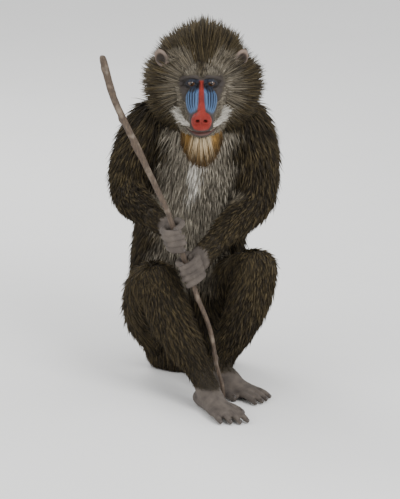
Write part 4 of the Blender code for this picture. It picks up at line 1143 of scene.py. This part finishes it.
UP = np.array((0.0, 0.0, 1.0))
toe_nails = []
for heel, heading, inner in SOLES:
    ahead = np.array((cos(radians(heading)), sin(radians(heading)), 0))
    inside = np.array((-ahead[1], ahead[0], 0)) * inner
    heel = np.array(heel) + PLACE * (1, 1, 0)
    for toe, long in enumerate(TOE_LENGTHS):
        tip = heel + ahead * (0.129 - toe * 0.004 + long * 0.85) + inside * (0.0225 - toe * 0.0186) * 1.03
        toe_nails.append(nail(tip + UP * 0.0112, ahead - UP * 0.5, UP))
    tip = heel + ahead * 0.1205 + inside * 0.0392
    toe_nails.append(nail(tip + UP * 0.0148, ahead - UP * 0.42, UP, 1.25))
finger_nails = [nail(*values, 0.86) for values in hand_nails]
for name, group in (("toe_nails", toe_nails), ("finger_nails", finger_nails)):
    nails = joined(name, group)
    nails.data.materials.append(nail_finish)
    bpy.ops.object.shade_smooth_by_angle(angle=radians(50))
    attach(nails, "root")


# The coiffure: a crown that stands over the brow and a deep ruff down both sides of the face.
# The real hair is long and dense. It springs from the face's edge and turns back and down behind.

# Angle back from the face, and there the lift of the hair, its length and its width
HOOD_BACK = np.radians((32, 47, 65, 87, 111, 137, 165))
HOOD_LIFT = np.radians((16, 32, 42, 44, 36, 24, 14))
HOOD_LENGTH = (0.058, 0.078, 0.094, 0.1, 0.1, 0.096, 0.092)
HOOD_WIDTH = (0.0018, 0.0024, 0.0032, 0.0038, 0.0042, 0.0044, 0.0044)
HALF_CROWN = radians(44)
HOOD_TUFTS = 28000


def sphere_spots(count):
    """Evenly spread directions."""
    k = np.arange(count) + 0.5
    z = 1 - 2 * k / count
    turn = k * pi * (3 - sqrt(5))
    r = np.sqrt(1 - z * z)
    return beside(r * np.cos(turn), r * np.sin(turn), z)


ways = sphere_spots(HOOD_TUFTS)
back = np.arccos(np.clip(-ways[:, 1], -1, 1))
around = np.arctan2(ways[:, 0], ways[:, 2])
keep = (back > radians(31)) & (back < radians(168))
keep &= (np.abs(around) < radians(153)) | (back > radians(125))
radii = np.tile(HOOD_RADII, (len(ways), 1))
radii[ways[:, 1] < 0, 1] = HOOD_FRONT
roots = HOOD + ways * radii
ear_gap = from_ear(roots - EYES)
keep &= ear_gap > 0.021
ways, back, around, radii, roots, ear_gap = kept(keep, ways, back, around, radii, roots, ear_gap)
count = len(roots)
normals = unit(ways / radii)
behind = np.maximum(0, -np.cos(back))
spread = beside(np.sin(around), 0, np.cos(around))
backward = beside(0, 0.9, -0.9 * behind - 0.15)
lies = combed(spread * (1 - behind[:, None]) + backward, normals, 0.06)
peak = np.exp(-((around / 0.24) ** 2)) * bump(back - radians(78), radians(40))
flat = 0.72 + 0.28 * np.abs(np.sin(around))
lengths = np.interp(back, HOOD_BACK, HOOD_LENGTH) * draw.uniform(0.78, 1.04, count) * (1 + 0.16 * peak)
lifts = np.interp(back, HOOD_BACK, HOOD_LIFT) * flat * draw.uniform(0.45, 1.02, count) + radians(26) * peak
lifts += radians(30) * step(radians(118), radians(150), back) * step(1.9, 0.9, np.abs(around))
widths = np.interp(back, HOOD_BACK, HOOD_WIDTH) * draw.uniform(0.75, 1.2, count)
pale = 0.42 * step(radians(46), radians(33), back) * (np.abs(around) > 0.3)
warm = 0.45 + 0.4 * step(radians(50), radians(100), back)
by_ear = step(0.04, 0.026, ear_gap) * step(0.046, 0.036, roots[:, 1] - EYES[1])
marks = beside(np.maximum(pale, 0.9 * by_ear), warm, 0, 0)
lengths *= 1 - 0.6 * by_ear
widths *= 1 - 0.35 * by_ear
for name, node, part in (
    ("crown_hair", "crown", np.abs(around) < HALF_CROWN),
    ("ruff_hair_left", "ruff_left", around >= HALF_CROWN),
    ("ruff_hair_right", "ruff_right", around <= -HALF_CROWN),
):
    bends = draw.uniform(1.05, 1.35, part.sum())
    bed = (
        *kept(part, roots, normals, lies, lengths, widths, lifts), bends, marks[part],
        unwrapped(roots[part]),
    )
    grown(name, bed, 0.07, hair_finish, (node,))


# The beard: long hair that hangs from the whole jaw and draws in to a point over the breast.
# It is pale under the lip, golden on the chin and dark at its edges.

BEARD_PALE = (0.52, 0.43, 0.29, 1)
BEARD_GOLD = (0.36, 0.205, 0.058, 1)
BEARD_DARK = (0.045, 0.03, 0.018, 1)
BEARD_TUFTS = 9600
BEARD_SPACING = 0.0026


def on_jaw(places):
    return far(places - EYES - np.array((0, -0.04, -0.1))) < 0.075


ways = sphere_spots(BEARD_TUFTS)
ways = ways[ways[:, 2] < 0.15]
spots, jaw_normals, _ = scattered(BEARD_SPACING, on_jaw)
own = spots - EYES
x, y, z = own.T
low = (mouth_level(own)[0] < -0.012) & (np.abs(x) < 0.046) & (y < 0.03)
low &= (z > -0.125) & (jaw_normals[:, 2] < 0.25)
roots = np.concatenate([BEARD + ways * BEARD_RADII, spots[low]])
normals = unit(np.concatenate([ways, jaw_normals[low]]) * (1, 1, 0) + np.array((0, -0.3, 0)))
count = len(roots)
x, y, z = (roots - BEARD).T
lies = combed(beside(x * -8, y * -5 + 0.06, -1.0), normals, 0.06)
deep = step(-0.01, -0.022, z)
lengths = 0.056 + 0.016 * deep - 0.3 * np.abs(x) - 0.42 * np.clip(y + 0.02, 0, 1)
lengths += 0.01 * step(-0.02, -0.055, y)
lengths *= draw.uniform(0.72, 1.06, count)
pale = step(-0.045, -0.062, y) * step(-0.012, 0.0, z) * step(0.028, 0.014, np.abs(x))
marks = beside(pale, step(0.052, 0.026, np.hypot(x, np.clip(y, 0, 1))), 0, 0)
beard_finish, shader, pale, warm, _, along, chance, threads = hair_of("beard_hair")
tone = (warm * (chance * 0.5 + threads * 0.6 + 0.15)).clipped().blend(BEARD_DARK, BEARD_GOLD)
tone = (along * 1.3 - 0.35).clipped().blend(tone, BEARD_DARK)
filled(shader, {"Base Color": (pale * (1.25 - along * 1.1)).clipped().blend(tone, BEARD_PALE)})
widths = draw.uniform(0.0017, 0.0032, count)
lifts, bends = angles(7, 17, count), draw.uniform(0.6, 1.1, count)
bed = (roots, normals, lies, lengths, widths, lifts, bends, marks, unwrapped(roots))
grown("beard_hair", bed, 0.09, beard_finish, ("beard",))


# The mantle: the longer coat of the nape and shoulders. It is rooted in the skin there, hangs
# down the upper back in overlapping locks and runs out into the short coat.

MANTLE_SPACING = 0.0046
MANTLE_CLEAR = (0.1, 0.26)


def on_shoulders(places):
    """The part of the skin that carries the long coat."""
    clear = far((places - HOOD) / HOOD_RADII) > 1
    return clear & (mantle_share(places) > 0) & (places[:, 2] < EYES[2] + 0.06)


roots, normals, uvs = scattered(MANTLE_SPACING, on_shoulders)
keep = mantle_share(roots) > draw.uniform(0.1, 0.7, len(roots))
roots, normals, uvs = kept(keep, roots, normals, uvs)
count = len(roots)
high = step(0.6, 0.67, roots[:, 2])
away = unit((roots - np.array((0.006, 0.01, 0)) - PLACE) * (1, 1, 0))
lies = away * (0.75 - 0.53 * high)[:, None] + beside(0, 0.1 + 0.3 * high, -1)
lifts = np.radians(draw.uniform(9, 17, count))
lengths = (0.052 + 0.032 * mantle_share(roots)) * draw.uniform(0.6, 1.15, count)
lies = combed(lies, normals, 0.08)
bends = hugging(roots, normals, lies, lengths, lifts, MANTLE_CLEAR)
widths = draw.uniform(0.003, 0.005, count)
marks = np.tile((0, 0.75, 0, 0), (count, 1))
bed = (roots, normals, lies, lengths, widths, lifts, bends, marks, uvs)
grown("mantle_hair", bed, 0.11, hair_finish, ("mantle",))


# The stick: a slightly bent branch with rough bark, knots where twigs were, and one twig's stub.
# It stands on the floor and is held in both hands.

# Height of each knot and the side that it is on
KNOTS = ((0.1, 0.4), (0.235, 2.6), (0.505, -1.4), (0.555, 1.2), (0.648, 2.9), (0.715, -0.9), (0.765, -2.2))
KNOT_HEIGHT = 0.0028
BARK_VOXEL = 0.0019
BARK_DARK = (0.02, 0.013, 0.009, 1)
BARK = (0.12, 0.082, 0.054, 1)
BARK_RUBBED = (0.23, 0.185, 0.14, 1)

stick = copied("branch", ("stick",))
subdivided(stick, 1)
resurfaced(stick, BARK_VOXEL, 4)
points, normals = points_of(stick), points_of(stick, "normal")
height = points[:, 2]
turn = np.arctan2(normals[:, 1], normals[:, 0])
ridge = 0.00045 * np.sin(turn * 5 + height * 26 + 1.4 * np.sin(height * 61))
ridge += 0.0003 * np.sin(turn * 9 - height * 70)
knots = np.zeros(len(points))
for at, facing in KNOTS:
    knots += KNOT_HEIGHT * bump(height - at, 0.012) * bump(np.angle(np.exp(1j * (turn - facing))), 1.1)
moved(stick, points + normals * (ridge + knots)[:, None] * step(0.0, 0.006, height)[:, None])
alone(stick)
bpy.ops.object.shade_smooth()
bark_finish, start, shader = finish_of("bark")
place = place_in(start)
long_way = start.node("ShaderNodeMapping", {}, {"Vector": place, "Scale": (1.0, 1.0, 0.18)})
strands = {"Vector": long_way, "Scale": 330.0, "Detail": 5.0, "Roughness": 0.65}
fibre = start.node("ShaderNodeTexNoise", {}, strands)
tone = (fibre * 2.2 - 0.6).clipped().blend(BARK_DARK, BARK)
tone = ((noise(place, 38.0, 3.0) - 0.54) * 4.0).clipped().blend(tone, BARK_RUBBED)
filled(shader, {
    "Base Color": tone, "Roughness": fibre * 0.3 + 0.58, "Normal": relief(fibre, 0.7, 0.0014),
})
stick.data.materials.append(bark_finish)
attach(stick, "root")
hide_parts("stick")


# The floor, the light and the camera of a plain studio. The floor is painted board,
# and the lamps are soft boxes on stands out of the picture.

PAINT_DARK = (0.87, 0.865, 0.85, 1)
PAINT = (0.91, 0.905, 0.89, 1)
SKY = (0.93, 0.94, 0.95, 1)
# Place, power and size of each lamp
LAMPS = {
    "key": ((1.5, -2.3, 2.3), 74, 1.3), "fill": ((-2.4, -1.8, 1.2), 20, 2.0),
    "rim": ((-1.2, 2.2, 2.2), 46, 1.2),
}
CAMERA_REACH = 12.474
CAMERA_RISE = radians(15)

alone(stick)
bpy.ops.mesh.primitive_plane_add(size=60, location=(0, 0, 0))
floor = bpy.context.object
floor.name = "floor"
floor_finish, start, shader = finish_of("floor_paint")
mottle = noise(place_in(start), 3.0, 2.0)
filled(shader, {"Base Color": mottle.blend(PAINT_DARK, PAINT), "Roughness": 0.9})
floor.data.materials.append(floor_finish)

world = bpy.data.worlds.new("studio")
bpy.context.scene.world = world
world.use_nodes = True
filled(world.node_tree.nodes["Background"], {"Color": SKY, "Strength": 1.15})


def aimed(thing, target):
    """A lamp or camera is turned to a place and put in the scene."""
    thing.rotation_euler = (target - thing.location).to_track_quat("-Z", "Y").to_euler()
    bpy.context.scene.collection.objects.link(thing)


target = Vector((0.0205, 0, 0.318))
for name, (place, power, size) in LAMPS.items():
    light = bpy.data.lights.new(name, "AREA")
    light.energy = power
    light.size = size
    lamp = bpy.data.objects.new(name, light)
    lamp.location = place
    aimed(lamp, target + Vector((0, 0, 0.15)))

camera = bpy.data.cameras.new("camera")
camera.lens = 400
camera.sensor_width = 36
eye_point = bpy.data.objects.new("camera", camera)
eye_point.location = target + Vector((0, -cos(CAMERA_RISE), sin(CAMERA_RISE))) * CAMERA_REACH
aimed(eye_point, target)
bpy.context.scene.camera = eye_point
